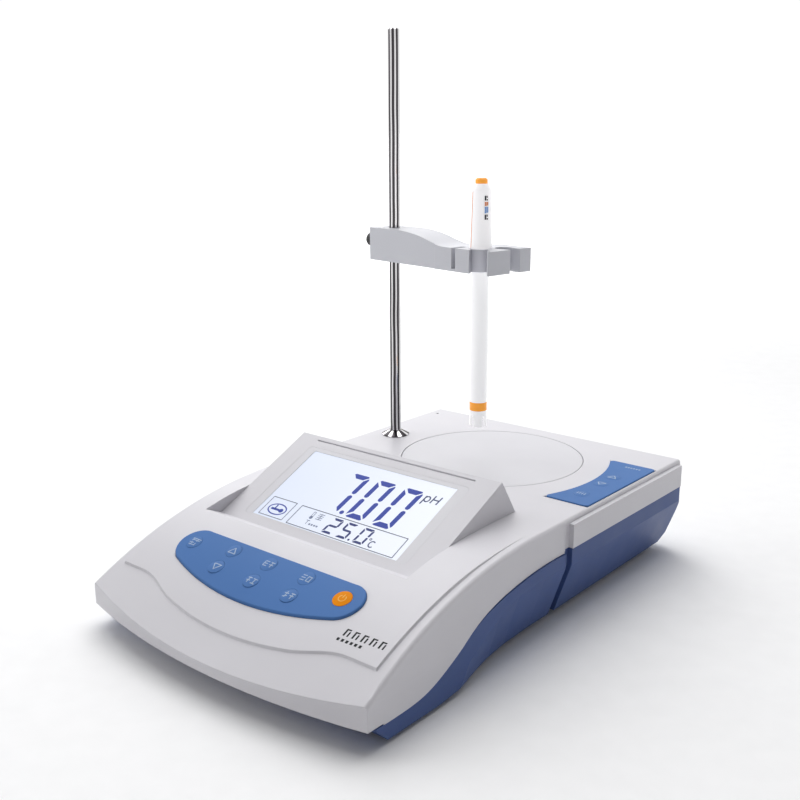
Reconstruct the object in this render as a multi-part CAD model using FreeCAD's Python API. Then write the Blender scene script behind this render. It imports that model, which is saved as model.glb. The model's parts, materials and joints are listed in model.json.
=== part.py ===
import FreeCAD, Part
import math
import os

from FreeCAD import Rotation, Vector

# Bench pH meter with a built-in magnetic stirrer, a stand rod, a holder arm and a combination electrode.
# The case is drawn with x = 0 in its middle, y = 0 at its front corners (+Y to the rear) and z = 0 at the
# lower edge of the cover's front lip. Each shape is moved to the part's own frame when it is written:
# there the origin is under the middle of the meter, on the bench. All sizes are in millimetres.

# ---- driving dimensions: case ----
CASE_W = 225.0
CASE_REAR = 338.6
LIP_BOW = 13.6
PLATE_Z = 53.06
WALL = 2.5
GROUND_Z = -14.0
REAR_PANEL_OVERHANG = 12.0
HALF_W = CASE_W / 2

# side outline of the cover's top (y, z), level from the last point to the rear
TOP_LINE = [(-20, 1.8), (0, 14.0), (20, 24.6), (40, 33.3), (60, 40.1), (80, 45.3), (105, 49.8), (130, 52.2),
            (155, PLATE_Z)]
# parting line between cover and base, from the front to the gap between the two modules (y, z)
PARTING_LINE = [(12, -1.6), (30, -1.4), (45, 0.3), (60, 5.5), (75, 13.0), (90, 20.8), (105, 26.0),
                (125, 30.0), (150, 32.7), (184, 33.2)]
PARTING_GAP = 0.3
LIP_BOTTOM = -0.3
SIDE_DRAFT = 3.5
DRAFT_START_Z = 14.0
TOP_EDGE_R = 2.2

# rear module: rail along each side, below the edge of the top plate
GAP_Y0 = 181.0
GAP_Y1 = 188.0
GAP_DEPTH = 3.2
RAIL_TOP = 50.3
RAIL_BOTTOM = 34.6
PLATE_EDGE_INSET = 3.0
DIMPLE = (-100.8, 326.2)
DIMPLE_R = 1.2

# raised panel on the front of the cover
PANEL_HALF_W = 104.6
PANEL_RISE = 1.3
PANEL_FRONT_SIDE_Y = 16.0
PANEL_FRONT_MID_Y = 2.0
PANEL_TURN_X = 48.0
PANEL_TURN_Y = 6.8
PANEL_FLAT_X = 86.0
PANEL_FADE_Y = 146.0
PANEL_FADE_RUN = 60.0
PANEL_EDGE_H = 1.15
PANEL_EDGE_W = 2.6

# base
BASE_INSET = 0.6
BASE_FRONT_Y = 6.0
BASE_FRONT_Z = -1.6
SKID_Z = -11.5
SKID_Y0 = 15.5
SKID_Y1 = 58.0
BASE_FLOOR_Z = -9.8
BASE_FLOOR_Y = 76.0
# sloped lower side: place along the case, height of the crease, half width at the floor
SIDE_SLOPE = [(76.0, -9.5, 111.8), (84.0, 2.5, 109.8), (98.0, 10.5, 106.4), (112.0, 18.2, 103.6),
              (131.0, 23.6, 101.4), (158.0, 25.2, 100.3), (184.0, 24.0, 100.3), (350.0, 24.0, 99.0)]
BOSS_X = 90.0
BOSS_YS = (52.0, 322.0)
BOSS_JOIN_Z = 16.0
BOSS_TOP_FRONT = 36.0
FOOT_XS = (-80.0, 80.0)
FRONT_FOOT_Y = 34.0
REAR_FOOT_Y = 300.0

# boards and rear sockets
BOARD_Z = 6.0
BOARD = (-84.0, 62.0, 122.0, 214.0)
BOARD_T = 1.6
SOCKET_Z = 17.0
SOCKETS = {"bnc": -72.0, "reference": -48.0, "temperature": -22.0, "serial": 20.0, "power": 68.0}
BNC_R = 4.8
TEMPERATURE_R = 7.5
POWER_R = 5.0
BANANA_R = 2.0

# display housing: a flat facet across the arch, deeper than the arch in front and proud of it behind
DISPLAY_X = -7.8
DISPLAY_HALF_W = 84.2
FACET_Y = 112.0
FACET_Z = 51.9
FACET_SLOPE = 0.468
FACET_ANGLE = math.degrees(math.atan(FACET_SLOPE))
FACET_FRONT_Y = 85.0
RAMP_FRONT_Y = 72.0
RAMP_Z = 45.2
FACET_REAR_Y = 163.3
HOUSING_REAR_Y = 178.0
LENS_W = 136.0
LENS_D = 69.0
LENS_T = 1.5
LENS_GAP = 0.03
SCREEN_W = 120.0
SCREEN_D = 64.0
SCREEN_Y = 122.2
SCREEN_SHIFT = -1.0
SLIT_Y = 159.6
SLIT_W = 1.2

# front keypad
KEYPAD_X = -5.2
KEYPAD_HALF_W = 74.4
KEYPAD_SHOULDER_X = 60.0
KEYPAD_REAR_Y = 56.2
KEYPAD_FRONT_Y = 20.5
KEYPAD_FOOT = (64.0, 30.8)
KEYPAD_RISE = 1.5
KEYPAD_SINK = 1.4
KEYPAD_EDGE_R = 0.9
KEY_R = 5.2
POWER_KEY_R = 5.8
KEY_GAP = 0.1
KEY_DOME = 0.4
KEY_PITCH = 30.6
KEY_MIDDLE_X = -6.0
KEY_ROW_REAR = 48.0
KEY_ROW_FRONT = 34.2
KEY_ROW_MID = 44.2
POWER_KEY_X = 55.7
KEY_TRAVEL = 0.5
KEY_TILT = 20.5

# magnetic stirrer
STIR_X = 1.0
STIR_Y = 259.65
STIR_R = 64.8
STIR_PLATE_T = 1.6
STIR_GAP = 0.5
MAGNET_R = 5.0
MAGNET_H = 5.0
MAGNET_OFFSET = 17.0
ROTOR_R = 24.0
ROTOR_Z0 = 37.0
ROTOR_Z1 = 41.0
MOTOR_R = 16.0
MOTOR_Z0 = 6.0
MOTOR_Z1 = 30.0
BRACKET_T = 2.0
MOTOR_SHAFT_R = 1.5
SHAFT_CLEARANCE = 0.05

# stirrer keypad, along the right edge of the top plate
STIR_KEYPAD_Y0 = 212.6
STIR_KEYPAD_Y1 = 305.0
STIR_KEYPAD_X0_FRONT = 74.8
STIR_KEYPAD_X0_REAR = 71.8
STIR_KEYPAD_HOLLOW = (84.0, 250.0)
STIR_KEYPAD_X1 = 107.0
STIR_KEYPAD_RISE = 0.8
STIR_KEY_X = 92.4
STIR_KEY_YS = [230.0, 255.0, 271.5]

# stand and holder arm
ROD_X = -89.8
ROD_Y = 259.6
ROD_R = 4.0
ROD_TOP = PLATE_Z + 297.0
ROD_BOTTOM = 36.0
FLANGE_R = 10.4
ARM_ANGLE = -9.4
ARM_Z0 = 188.0
ARM_Z1 = 211.5
ARM_HALF_W = 12.3
ARM_REAR = -13.7
HEAD_START = 58.5
HEAD_END = 111.0
HEAD_TOP = 203.8
HEAD_BACK_V = 27.0
SLEEVE_R = 6.5
COLLAR_R = 7.9
COLLAR_H = 1.2
RUNNING_GAP = 0.05
COLLAR_GAP = 0.3
ELECTRODE_U = 89.9
GROMMET_R = 8.3
FIRST_MOUTH = (93.3, 110.1)
SECOND_HOLE = (100.5, 11.6)
SECOND_MOUTH = (6.9, 16.3)
PROBE_HOLE = (77.4, -4.5)
PROBE_R = 2.6
PROBE_SLOT_W = 3.8
SPARE_R = 6.1
CLAMP_Z = 201.0
CLAMP_SCREW_R = 2.0
KNOB_R = 5.0
KNOB_CHAMFER = 0.6
KNOB_GROOVES = 14
SHOE_T = 2.2
KNOB_END = -27.8

# electrode
SHAFT_R = 6.0
HEAD_FOOT_R = 7.7
HEAD_SHOULDER_R = 6.6
ELECTRODE_TOP = 250.2
ELECTRODE_TIP = 79.5
CAP_R = 4.1
CAP_H = 3.6
HEAD_Z0 = HEAD_TOP + 0.3
HEAD_SHOULDER_Z = ELECTRODE_TOP - CAP_H - 4.0
CORE_R = 3.2
RING_Z = 91.0
RING_H = 6.0
GUARD_WINDOW_TOP = 87.0
BULB_R = 3.6

# the part's own frame: origin under the middle of the overall box
LEFT_END = ROD_X + KNOB_END * math.cos(math.radians(ARM_ANGLE)) - (KNOB_R - KNOB_CHAMFER) * math.sin(
    math.radians(-ARM_ANGLE))
ORIGIN_X = (HALF_W + LEFT_END) / 2
ORIGIN_Y = (CASE_REAR + REAR_PANEL_OVERHANG - LIP_BOW) / 2
TO_FRAME = Vector(-ORIGIN_X, -ORIGIN_Y, -GROUND_Z)


# ---- small helpers ----
def box(x0, x1, y0, y1, z0, z1):
    """Block between two corners."""
    return Part.makeBox(x1 - x0, y1 - y0, z1 - z0, Vector(x0, y0, z0))


def post(x, y, z0, z1, r):
    """Upright cylinder."""
    return Part.makeCylinder(r, z1 - z0, Vector(x, y, z0), Vector(0, 0, 1))


def tube(x, y, z0, z1, outer, inner):
    """Upright tube."""
    return post(x, y, z0, z1, outer).cut(post(x, y, z0 - 1, z1 + 1, inner))


def bar_y(x, z, y0, y1, r):
    """Cylinder along Y."""
    return Part.makeCylinder(r, y1 - y0, Vector(x, y0, z), Vector(0, 1, 0))


def polyline(points):
    """Edges of a closed outline."""
    ends = points[1:] + points[:1]
    return [Part.makeLine(a, b) for a, b in zip(points, ends)]


def side_prism(points, x0, x1):
    """Outline given as (y, z) points, extruded along X."""
    face = Part.Face(Part.Wire(polyline([Vector(x0, y, z) for y, z in points])))
    return face.extrude(Vector(x1 - x0, 0, 0))


def plan_prism(edges, z0, z1):
    """Closed plan outline at z = 0, extruded between two heights."""
    face = Part.Face(Part.Wire(Part.__sortEdges__(edges)))
    face.translate(Vector(0, 0, z0))
    return face.extrude(Vector(0, 0, z1 - z0))


def spline(points, x, dz=0.0, end_tangent=None):
    """Smooth curve through (y, z) points at one x."""
    curve = Part.BSplineCurve()
    knots = [Vector(x, y, z + dz) for y, z in points]
    if end_tangent is None:
        curve.interpolate(Points=knots)
    else:
        start = knots[1] - knots[0]
        curve.interpolate(Points=knots, InitialTangent=start.normalize(), FinalTangent=end_tangent)
    return curve.toShape()


def under_top(dz, half_w, y_end, z_low, points=None):
    """Everything below the cover's top outline, moved up by dz, between the two side planes."""
    line = points or TOP_LINE
    top = spline(line, -half_w, dz, Vector(0, 1, 0))
    first = top.Vertexes[0].Point
    last = top.Vertexes[-1].Point
    rear_top = Vector(-half_w, y_end, last.z)
    rear_low = Vector(-half_w, y_end, z_low)
    front_low = Vector(-half_w, first.y, z_low)
    edges = [top]
    for a, b in ((last, rear_top), (rear_top, rear_low), (rear_low, front_low), (front_low, first)):
        edges.append(Part.makeLine(a, b))
    return Part.Face(Part.Wire(edges)).extrude(Vector(2 * half_w, 0, 0))


def case_plan(inset, y_rear, corner=4.0):
    """Plan outline of the case: bowed front, straight sides, small rear corners."""
    w = HALF_W - inset
    rear = y_rear - inset
    front = Part.Arc(Vector(-w, inset, 0), Vector(0, inset - LIP_BOW, 0), Vector(w, inset, 0)).toShape()
    mid = corner * (1 - math.sqrt(0.5))
    right = Part.Arc(Vector(w, rear - corner, 0), Vector(w - mid, rear - mid, 0),
                     Vector(w - corner, rear, 0)).toShape()
    left = Part.Arc(Vector(-w, rear - corner, 0), Vector(mid - w, rear - mid, 0),
                    Vector(corner - w, rear, 0)).toShape()
    lines = [
        Part.makeLine(Vector(w, inset, 0), Vector(w, rear - corner, 0)),
        Part.makeLine(Vector(w - corner, rear, 0), Vector(corner - w, rear, 0)),
        Part.makeLine(Vector(-w, rear - corner, 0), Vector(-w, inset, 0)),
    ]
    return [front, right, left] + lines


def drafted_section(inset):
    """Cross-section of the cover, narrowing towards the top, extruded along Y."""
    w = HALF_W - inset
    top = PLATE_Z + 4 - inset
    narrow = w - SIDE_DRAFT * (top - DRAFT_START_Z) / (PLATE_Z - DRAFT_START_Z)
    y0 = -30
    points = [Vector(-w, y0, -30), Vector(w, y0, -30), Vector(w, y0, DRAFT_START_Z), Vector(narrow, y0, top),
              Vector(-narrow, y0, top), Vector(-w, y0, DRAFT_START_Z)]
    return Part.Face(Part.Wire(polyline(points))).extrude(Vector(0, CASE_REAR + 60, 0))


def facet_z(y):
    """Height of the display facet."""
    return FACET_Z + FACET_SLOPE * (y - FACET_Y)


def parting_side(x0, x1, lift, z_far):
    """Region on one side of the parting line: above it when z_far is high, below it when z_far is low."""
    front = (-40, PARTING_LINE[0][1])
    curve = spline(PARTING_LINE, x0, lift)
    start = curve.Vertexes[0].Point
    end = curve.Vertexes[-1].Point
    corners = [Vector(x0, end.y, RAIL_BOTTOM + lift), Vector(x0, CASE_REAR + 30, RAIL_BOTTOM + lift),
               Vector(x0, CASE_REAR + 30, z_far), Vector(x0, front[0], z_far),
               Vector(x0, front[0], front[1] + lift)]
    edges = [curve]
    path = [end] + corners + [start]
    for a, b in zip(path[:-1], path[1:]):
        edges.append(Part.makeLine(a, b))
    return Part.Face(Part.Wire(edges)).extrude(Vector(x1 - x0, 0, 0))


def in_display_plane(shape):
    """Tilts a shape drawn flat about the screen's middle on to the facet."""
    moved = shape.copy()
    moved.rotate(Vector(0, 0, 0), Vector(1, 0, 0), FACET_ANGLE)
    moved.translate(Vector(DISPLAY_X, SCREEN_Y, facet_z(SCREEN_Y)))
    return moved


def flat_plate(w, d, z0, z1, corner, y=0.0):
    """Plate with rounded corners, centred on x = 0."""
    plate = box(-w / 2, w / 2, y - d / 2, y + d / 2, z0, z1)
    uprights = [e for e in plate.Edges if abs(e.tangentAt(e.FirstParameter).z) > 0.99]
    return plate.makeFillet(corner, uprights)


def on_arm(shape):
    """Turns a shape drawn with the arm along +X to the arm's resting direction."""
    moved = shape.copy()
    moved.rotate(Vector(0, 0, 0), Vector(0, 0, 1), ARM_ANGLE)
    moved.translate(Vector(ROD_X, ROD_Y, 0))
    return moved


# ---- top cover ----
def cover_body(inset):
    """Arched cover without its openings; inset 0 is the outside, WALL the inside."""
    drop = -inset
    low = -30
    body = under_top(drop, HALF_W, CASE_REAR, low)
    body = body.common(plan_prism(case_plan(inset, CASE_REAR), low, 100))
    return body.common(drafted_section(inset))


def panel_plan():
    """Plan outline of the raised panel: straight sides and a front edge that dips in the middle."""
    w = PANEL_HALF_W
    side_y = PANEL_FRONT_SIDE_Y
    turn = Vector(PANEL_TURN_X, PANEL_TURN_Y, 0)
    dip = Part.Arc(Vector(-turn.x, turn.y, 0), Vector(0, PANEL_FRONT_MID_Y, 0), turn).toShape()
    edges = [dip]
    for s in (-1, 1):
        blend = Part.BezierCurve()
        blend.setPoles([Vector(s * turn.x, turn.y, 0), Vector(s * (turn.x + 15), turn.y + 2.8, 0),
                        Vector(s * (PANEL_FLAT_X - 16), side_y, 0), Vector(s * PANEL_FLAT_X, side_y, 0)])
        edges.append(blend.toShape())
        edges.append(Part.makeLine(Vector(s * PANEL_FLAT_X, side_y, 0), Vector(s * w, side_y, 0)))
        edges.append(Part.makeLine(Vector(s * w, side_y, 0), Vector(s * w, PANEL_FADE_Y, 0)))
    edges.append(Part.makeLine(Vector(-w, PANEL_FADE_Y, 0), Vector(w, PANEL_FADE_Y, 0)))
    return edges


def panel_line():
    """Top outline of the raised panel: a fixed rise that fades out towards the flat plate."""
    shares = [min(1.0, max(0.0, (PANEL_FADE_Y - y) / PANEL_FADE_RUN)) for y, _ in TOP_LINE]
    return [(y, z + PANEL_RISE * share) for (y, z), share in zip(TOP_LINE, shares)]


def housing_outline(inset):
    """Side outline of the display housing above the plate."""
    cos_a = math.cos(math.radians(FACET_ANGLE))
    drop = inset / cos_a
    rear = FACET_REAR_Y - inset
    foot = HOUSING_REAR_Y - 1.3 * inset
    start = FACET_Y - 6
    return [(start, facet_z(start) - drop), (rear, facet_z(rear) - drop), (foot, PLATE_Z - inset),
            (foot, PLATE_Z - 8), (start, PLATE_Z - 16)]


def display_housing(inset):
    """Wedge that carries the screen."""
    x0 = DISPLAY_X - DISPLAY_HALF_W + inset
    x1 = DISPLAY_X + DISPLAY_HALF_W - inset
    return side_prism(housing_outline(inset), x0, x1)


def facet_cut(inset):
    """Space above the facet and its front ramp, where they lie below the arch."""
    x0 = DISPLAY_X - DISPLAY_HALF_W - inset
    x1 = DISPLAY_X + DISPLAY_HALF_W + inset
    cos_a = math.cos(math.radians(FACET_ANGLE))
    drop = inset / cos_a
    points = [(RAMP_FRONT_Y, RAMP_Z - drop), (FACET_FRONT_Y, facet_z(FACET_FRONT_Y) - drop),
              (FACET_REAR_Y, facet_z(FACET_REAR_Y) - drop), (FACET_REAR_Y, 120), (RAMP_FRONT_Y, 120)]
    return side_prism(points, x0, x1)


def keypad_plan(grow):
    """Outline of the front keypad: straight rear edge, round ends and a long bowed front edge."""
    rear_mid = Vector(0, KEYPAD_REAR_Y + grow, 0)
    front_mid = Vector(0, KEYPAD_FRONT_Y - grow, 0)
    to_shoulder = Vector(KEYPAD_SHOULDER_X, 0, 0)
    edges = [Part.makeLine(rear_mid - to_shoulder, rear_mid + to_shoulder)]
    foot_x, foot_y = KEYPAD_FOOT
    feet = [Vector(s * (foot_x + grow * 0.6), foot_y - grow * 0.8, 0) for s in (-1, 1)]
    edges.append(Part.Arc(feet[0], front_mid, feet[1]).toShape())
    for s, foot in zip((-1, 1), feet):
        shoulder = rear_mid + to_shoulder * s
        upper = Vector(s * (KEYPAD_HALF_W - 3.0 + grow * 0.7), KEYPAD_REAR_Y - 4.5 + grow * 0.7, 0)
        side = Vector(s * (KEYPAD_HALF_W + grow), KEYPAD_REAR_Y - 12.0, 0)
        lower = Vector(s * (KEYPAD_HALF_W - 2.2 + grow * 0.9), KEYPAD_REAR_Y - 19.3 - grow * 0.4, 0)
        edges.append(Part.Arc(shoulder, upper, side).toShape())
        edges.append(Part.Arc(side, lower, foot).toShape())
    for edge in edges:
        edge.translate(Vector(KEYPAD_X, 0, 0))
    return edges


def raised_panel():
    """Raised panel with a sloped border."""
    panel = under_top(0, PANEL_HALF_W, PANEL_FADE_Y, 10, panel_line())
    panel = panel.common(plan_prism(panel_plan(), 0, 100))
    top = max(panel.Faces, key=lambda f: f.CenterOfMass.z if f.Area > 1000 else -100)
    border = [e for e in top.Edges if e.CenterOfMass.y < PANEL_FADE_Y - 1]
    return panel.makeChamfer(PANEL_EDGE_H, PANEL_EDGE_W, border)


def panel_slab(low, high):
    """Layer that follows the raised panel, from low to high measured upwards from its surface."""
    line = panel_line()
    above = under_top(low, HALF_W + 1, PANEL_FADE_Y + 1, -61, line)
    return under_top(high, HALF_W, PANEL_FADE_Y, -60, line).cut(above)


def key_places():
    """Name, centre and radius of each key on the front keypad."""
    columns = [KEY_MIDDLE_X + KEY_PITCH * k for k in (-1, 0, 1)]
    places = [("key_mode", KEY_MIDDLE_X - 2.04 * KEY_PITCH, KEY_ROW_MID, KEY_R)]
    pairs = (("key_up", "key_down"), ("key_calibrate", "key_store"), ("key_temperature", "key_enter"))
    for x, (rear_name, front_name) in zip(columns, pairs):
        places.append((rear_name, x, KEY_ROW_REAR, KEY_R))
        places.append((front_name, x, KEY_ROW_FRONT, KEY_R))
    places.append(("key_power", POWER_KEY_X, KEY_ROW_MID, POWER_KEY_R))
    return places


def key_height(y):
    """Height of the raised panel's surface."""
    curve = spline(panel_line(), 0, 0, Vector(0, 1, 0)).Curve
    return curve.intersect(Part.Line(Vector(0, y, 0), Vector(0, y, 1)))[0].Z


def key_post(x, y, low, high, r):
    """Cylinder square to the keypad, with its ends at low and high from the panel's surface."""
    return on_keypad(post(0, 0, low, high, r), x, y)


def on_keypad(shape, x, y):
    """Moves a shape drawn upright about the origin to a place on the sloping keypad."""
    moved = shape.copy()
    moved.rotate(Vector(0, 0, 0), Vector(1, 0, 0), KEY_TILT)
    moved.translate(Vector(x, y, key_height(y)))
    return moved


def domed_cap(r, low, high):
    """Round cap whose top is a shallow dome."""
    ball_r = (r * r + KEY_DOME * KEY_DOME) / (2 * KEY_DOME)
    ball = Part.makeSphere(ball_r, Vector(0, 0, high + KEY_DOME - ball_r))
    return post(0, 0, low, high + 1, r).common(ball)


def stir_keypad_plan(grow):
    """Outline of the stirrer keypad: straight right edge, left edge hollowed round the stirring plate."""
    x1 = STIR_KEYPAD_X1 + grow
    y0 = STIR_KEYPAD_Y0 - grow
    y1 = STIR_KEYPAD_Y1 + grow
    front_x = STIR_KEYPAD_X0_FRONT - grow
    rear_x = STIR_KEYPAD_X0_REAR - grow
    hollow_x, hollow_y = STIR_KEYPAD_HOLLOW
    return [
        Part.makeLine(Vector(x1, y0, 0), Vector(x1, y1, 0)),
        Part.makeLine(Vector(x1, y1, 0), Vector(rear_x, y1, 0)),
        Part.Arc(Vector(rear_x, y1, 0), Vector(hollow_x - grow, hollow_y, 0),
                 Vector(front_x, y0, 0)).toShape(),
        Part.makeLine(Vector(front_x, y0, 0), Vector(x1, y0, 0)),
    ]


def boss_places():
    """Centres of the four screw bosses that hold cover and base together."""
    return [(x, y) for y in BOSS_YS for x in (-BOSS_X, BOSS_X)]


def boss_top(y):
    """Top of a boss, a little inside the cover's skin."""
    return PLATE_Z - WALL + 0.5 if y > GAP_Y0 else BOSS_TOP_FRONT


def rear_module_sides():
    """Ledge cut along the top edges and the gap between the modules, on both sides."""
    shapes = []
    for s in (-1, 1):
        x_edge = s * (HALF_W - PLATE_EDGE_INSET)
        x_out = s * (HALF_W + 5)
        shapes.append(box(min(x_edge, x_out), max(x_edge, x_out), GAP_Y1, CASE_REAR + 5, RAIL_TOP, 80))
        x_in = s * (HALF_W - GAP_DEPTH)
        shapes.append(box(min(x_in, x_out), max(x_in, x_out), GAP_Y0, GAP_Y1, -40, 80))
    return shapes


def rails():
    """Side rails of the rear module, upright where the rest of the cover has draft."""
    shapes = []
    for s in (-1, 1):
        x_in = s * (HALF_W - 6)
        x_out = s * HALF_W
        rail = box(min(x_in, x_out), max(x_in, x_out), GAP_Y1, CASE_REAR - 4, RAIL_BOTTOM, RAIL_TOP)
        shapes.append(rail)
    return shapes


def round_top_edges(body):
    """Rounds the long edges between the top and the sides of the front module."""
    picked = []
    for edge in body.Edges:
        b = edge.BoundBox
        long_enough = b.YLength > 60
        near_side = min(abs(b.XMin), abs(b.XMax)) > HALF_W - SIDE_DRAFT - 2
        if long_enough and near_side and PLATE_Z - 1 < b.ZMax < PLATE_Z + 1:
            picked.append(edge)
    return body.makeFillet(TOP_EDGE_R, picked)


def make_top_cover():
    outer = round_top_edges(cover_body(0))
    for cut in rear_module_sides():
        outer = outer.cut(cut)
    for rail in rails():
        outer = outer.fuse(rail)
    outer = outer.fuse(raised_panel()).fuse(display_housing(0)).cut(facet_cut(0))
    inner = cover_body(WALL).cut(box(-HALF_W, HALF_W, -40, 12, -40, 80))
    housing_room = display_housing(WALL)
    inner = inner.fuse(housing_room).cut(facet_cut(WALL))
    for s in (-1, 1):
        x_in = s * (HALF_W - GAP_DEPTH - WALL)
        x_out = s * HALF_W
        inner = inner.cut(box(min(x_in, x_out), max(x_in, x_out), GAP_Y0 - WALL, CASE_REAR, -40, 80))
    cover = outer.cut(inner)
    cover = cover.common(parting_side(-HALF_W - 5, HALF_W + 5, PARTING_GAP, 120))
    cover = cover.cut(box(-HALF_W - 5, HALF_W + 5, -40, 12, -40, LIP_BOTTOM))
    # screen opening, lens seat and the slit above them
    cover = cover.cut(in_display_plane(flat_plate(LENS_W + 2 * LENS_GAP, LENS_D + 2 * LENS_GAP, -LENS_T, 10,
                                           3.0 + LENS_GAP)))
    cover = cover.cut(in_display_plane(flat_plate(SCREEN_W + 3, SCREEN_D + 1, -12, 5, 1.0, SCREEN_SHIFT)))
    slit_y0 = SLIT_Y - SLIT_W / 2
    slit_z = facet_z(SLIT_Y) - 0.9
    cover = cover.cut(box(DISPLAY_X - 67, DISPLAY_X + 67, slit_y0, slit_y0 + SLIT_W, slit_z, 90))
    # keypad seat and key holes
    seat = plan_prism(keypad_plan(0.25), -10, 90).common(panel_slab(-KEYPAD_SINK, 12))
    cover = cover.cut(seat)
    for _, x, y, r in key_places():
        cover = cover.cut(key_post(x, y, -12, 6, r - 1.6))
    # stirring plate seat and stirrer keypad seat
    cover = cover.cut(post(STIR_X, STIR_Y, PLATE_Z - STIR_PLATE_T, PLATE_Z + 5, STIR_R + STIR_GAP))
    cover = cover.cut(plan_prism(stir_keypad_plan(0.25), PLATE_Z - 1.0, PLATE_Z + 5))
    for y in STIR_KEY_YS:
        cover = cover.cut(post(STIR_KEY_X, y, PLATE_Z - 10, PLATE_Z + 5, KEY_R - 1.6))
    x, y = DIMPLE
    cover = cover.cut(post(x, y, PLATE_Z - 1.2, PLATE_Z + 1, DIMPLE_R))
    # hole for the stand rod
    cover = cover.cut(post(ROD_X, ROD_Y, PLATE_Z - 10, PLATE_Z + 5, ROD_R + 0.2))
    # screw bosses
    for x, y in boss_places():
        boss = tube(x, y, BOSS_JOIN_Z, boss_top(y), 3.6, 1.5)
        cover = cover.fuse(boss)
    return cover.removeSplitter()


# ---- base ----
def base_outline(inset):
    """Side outline of the base tray: front slope, skid, low step and floor."""
    low = BASE_FLOOR_Z + inset
    rear = CASE_REAR - BASE_INSET - inset
    front = BASE_FRONT_Y + inset
    return [(front, 60), (front, BASE_FRONT_Z + inset * 0.5), (SKID_Y0 + inset * 0.6, SKID_Z + inset),
            (SKID_Y1, SKID_Z + inset), (BASE_FLOOR_Y, low), (rear - 7, low), (rear, low + 6), (rear, 60)]


def base_body(inset):
    """Base tray; inset 0 is the outside, WALL the inside."""
    plan = plan_prism(case_plan(BASE_INSET + inset, CASE_REAR), -60, 100)
    return side_prism(base_outline(inset), -HALF_W, HALF_W).common(plan)


def below_crease(s, inset):
    """Space outside the sloped lower part of one side, moved inwards by inset."""
    far = s * (HALF_W + 15)
    x_top = s * (HALF_W - BASE_INSET - inset)
    sections = []
    for y, crease_z, foot_x in SIDE_SLOPE:
        x_foot = s * (foot_x - inset)
        corners = [Vector(x_top, y, crease_z), Vector(x_foot, y, BASE_FLOOR_Z), Vector(x_foot, y, -40),
                   Vector(far, y, -40), Vector(far, y, crease_z)]
        sections.append(Part.Wire(polyline(corners)))
    return Part.makeLoft(sections, True, True)


def side_groove(s, grow):
    """Groove between the modules, down one side of the base."""
    slab = box(-HALF_W - 20, HALF_W + 20, GAP_Y0 - grow, GAP_Y1 + grow, -60, 100)
    x_in = s * (HALF_W - BASE_INSET - GAP_DEPTH - grow)
    x_out = s * (HALF_W + 15)
    upper = box(min(x_in, x_out), max(x_in, x_out), GAP_Y0 - grow, GAP_Y1 + grow, SIDE_SLOPE[-1][1], 100)
    return below_crease(s, GAP_DEPTH + grow).common(slab).fuse(upper)


def base_tray(inset):
    """Tray with its sloped sides and grooves; inset 0 is the outside, WALL the inside."""
    tray = base_body(inset)
    for s in (-1, 1):
        tray = tray.cut(below_crease(s, inset * 1.1)).cut(side_groove(s, inset))
    return tray


def boss_floor(y):
    """Underside of the tray at a boss."""
    return SKID_Z if y < SKID_Y1 else BASE_FLOOR_Z


def make_base_shell():
    base = base_tray(0).cut(base_tray(WALL))
    base = base.common(parting_side(-HALF_W - 5, HALF_W + 5, 0, -60))
    # opening for the rear panel
    base = base.cut(box(-90, 90, CASE_REAR - 10, CASE_REAR + 5, 4, 30))
    # bosses for the case screws and posts for the board
    for x, y in boss_places():
        floor = boss_floor(y)
        base = base.fuse(post(x, y, floor, BOSS_JOIN_Z, 3.9))
        base = base.cut(post(x, y, floor - 1, BOSS_JOIN_Z + 1, 1.75))
        base = base.cut(post(x, y, floor - 1, floor + 5, 3.1))
    for x, y in board_post_places():
        base = base.fuse(tube(x, y, BASE_FLOOR_Z + 1, BOARD_Z, 3.0, 1.2))
    return base.removeSplitter()


def board_post_places():
    """Centres of the four posts under the main board."""
    x0, x1, y0, y1 = BOARD
    return [(x, y) for x in (x0 + 6, x1 - 6) for y in (y0 + 6, y1 - 6)]


def make_feet(y, z_top, r):
    """Pair of round rubber feet with a small taper."""
    feet = []
    for x in FOOT_XS:
        feet.append(Part.makeCone(r - 0.8, r, z_top - GROUND_Z, Vector(x, y, GROUND_Z), Vector(0, 0, 1)))
    return Part.makeCompound(feet)


def screw(x, y, z_head, length, r, head_r, head_h):
    """Pan-head screw pointing up, with a cross recess."""
    head = post(x, y, z_head, z_head + head_h, head_r)
    shank = post(x, y, z_head + head_h, z_head + head_h + length, r)
    recess = box(x - head_r * 0.6, x + head_r * 0.6, y - 0.35, y + 0.35, z_head - 1, z_head + head_h * 0.5)
    cross = recess.copy()
    cross.rotate(Vector(x, y, 0), Vector(0, 0, 1), 90)
    return head.fuse(shank).cut(recess).cut(cross)


def make_case_screws():
    screws = []
    for x, y in boss_places():
        head_z = boss_floor(y) + 3.0
        screws.append(screw(x, y, head_z, BOSS_JOIN_Z - head_z + 7.0, 1.5, 2.8, 2.0))
    return Part.makeCompound(screws)


# ---- display ----
def make_display_window():
    return in_display_plane(flat_plate(LENS_W, LENS_D, 0.02 - LENS_T, 0, 3.0))


def make_lcd_panel():
    low = -LENS_T - 2.2
    return in_display_plane(flat_plate(SCREEN_W + 2, SCREEN_D + 0.4, low, -LENS_T, 0.5, SCREEN_SHIFT))


def make_backlight():
    low = -LENS_T - 2.2
    return in_display_plane(flat_plate(SCREEN_W + 2, SCREEN_D + 0.4, low - 4, low, 0.5, SCREEN_SHIFT))


def make_lcd_frame():
    top = -LENS_T - 6.2
    outer = flat_plate(SCREEN_W + 14, SCREEN_D + 3, top - 4, top, 1.0, SCREEN_SHIFT)
    inner = flat_plate(SCREEN_W - 8, SCREEN_D - 8, top - 10, top + 1, 0.5, SCREEN_SHIFT)
    return in_display_plane(outer.cut(inner))


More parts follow.
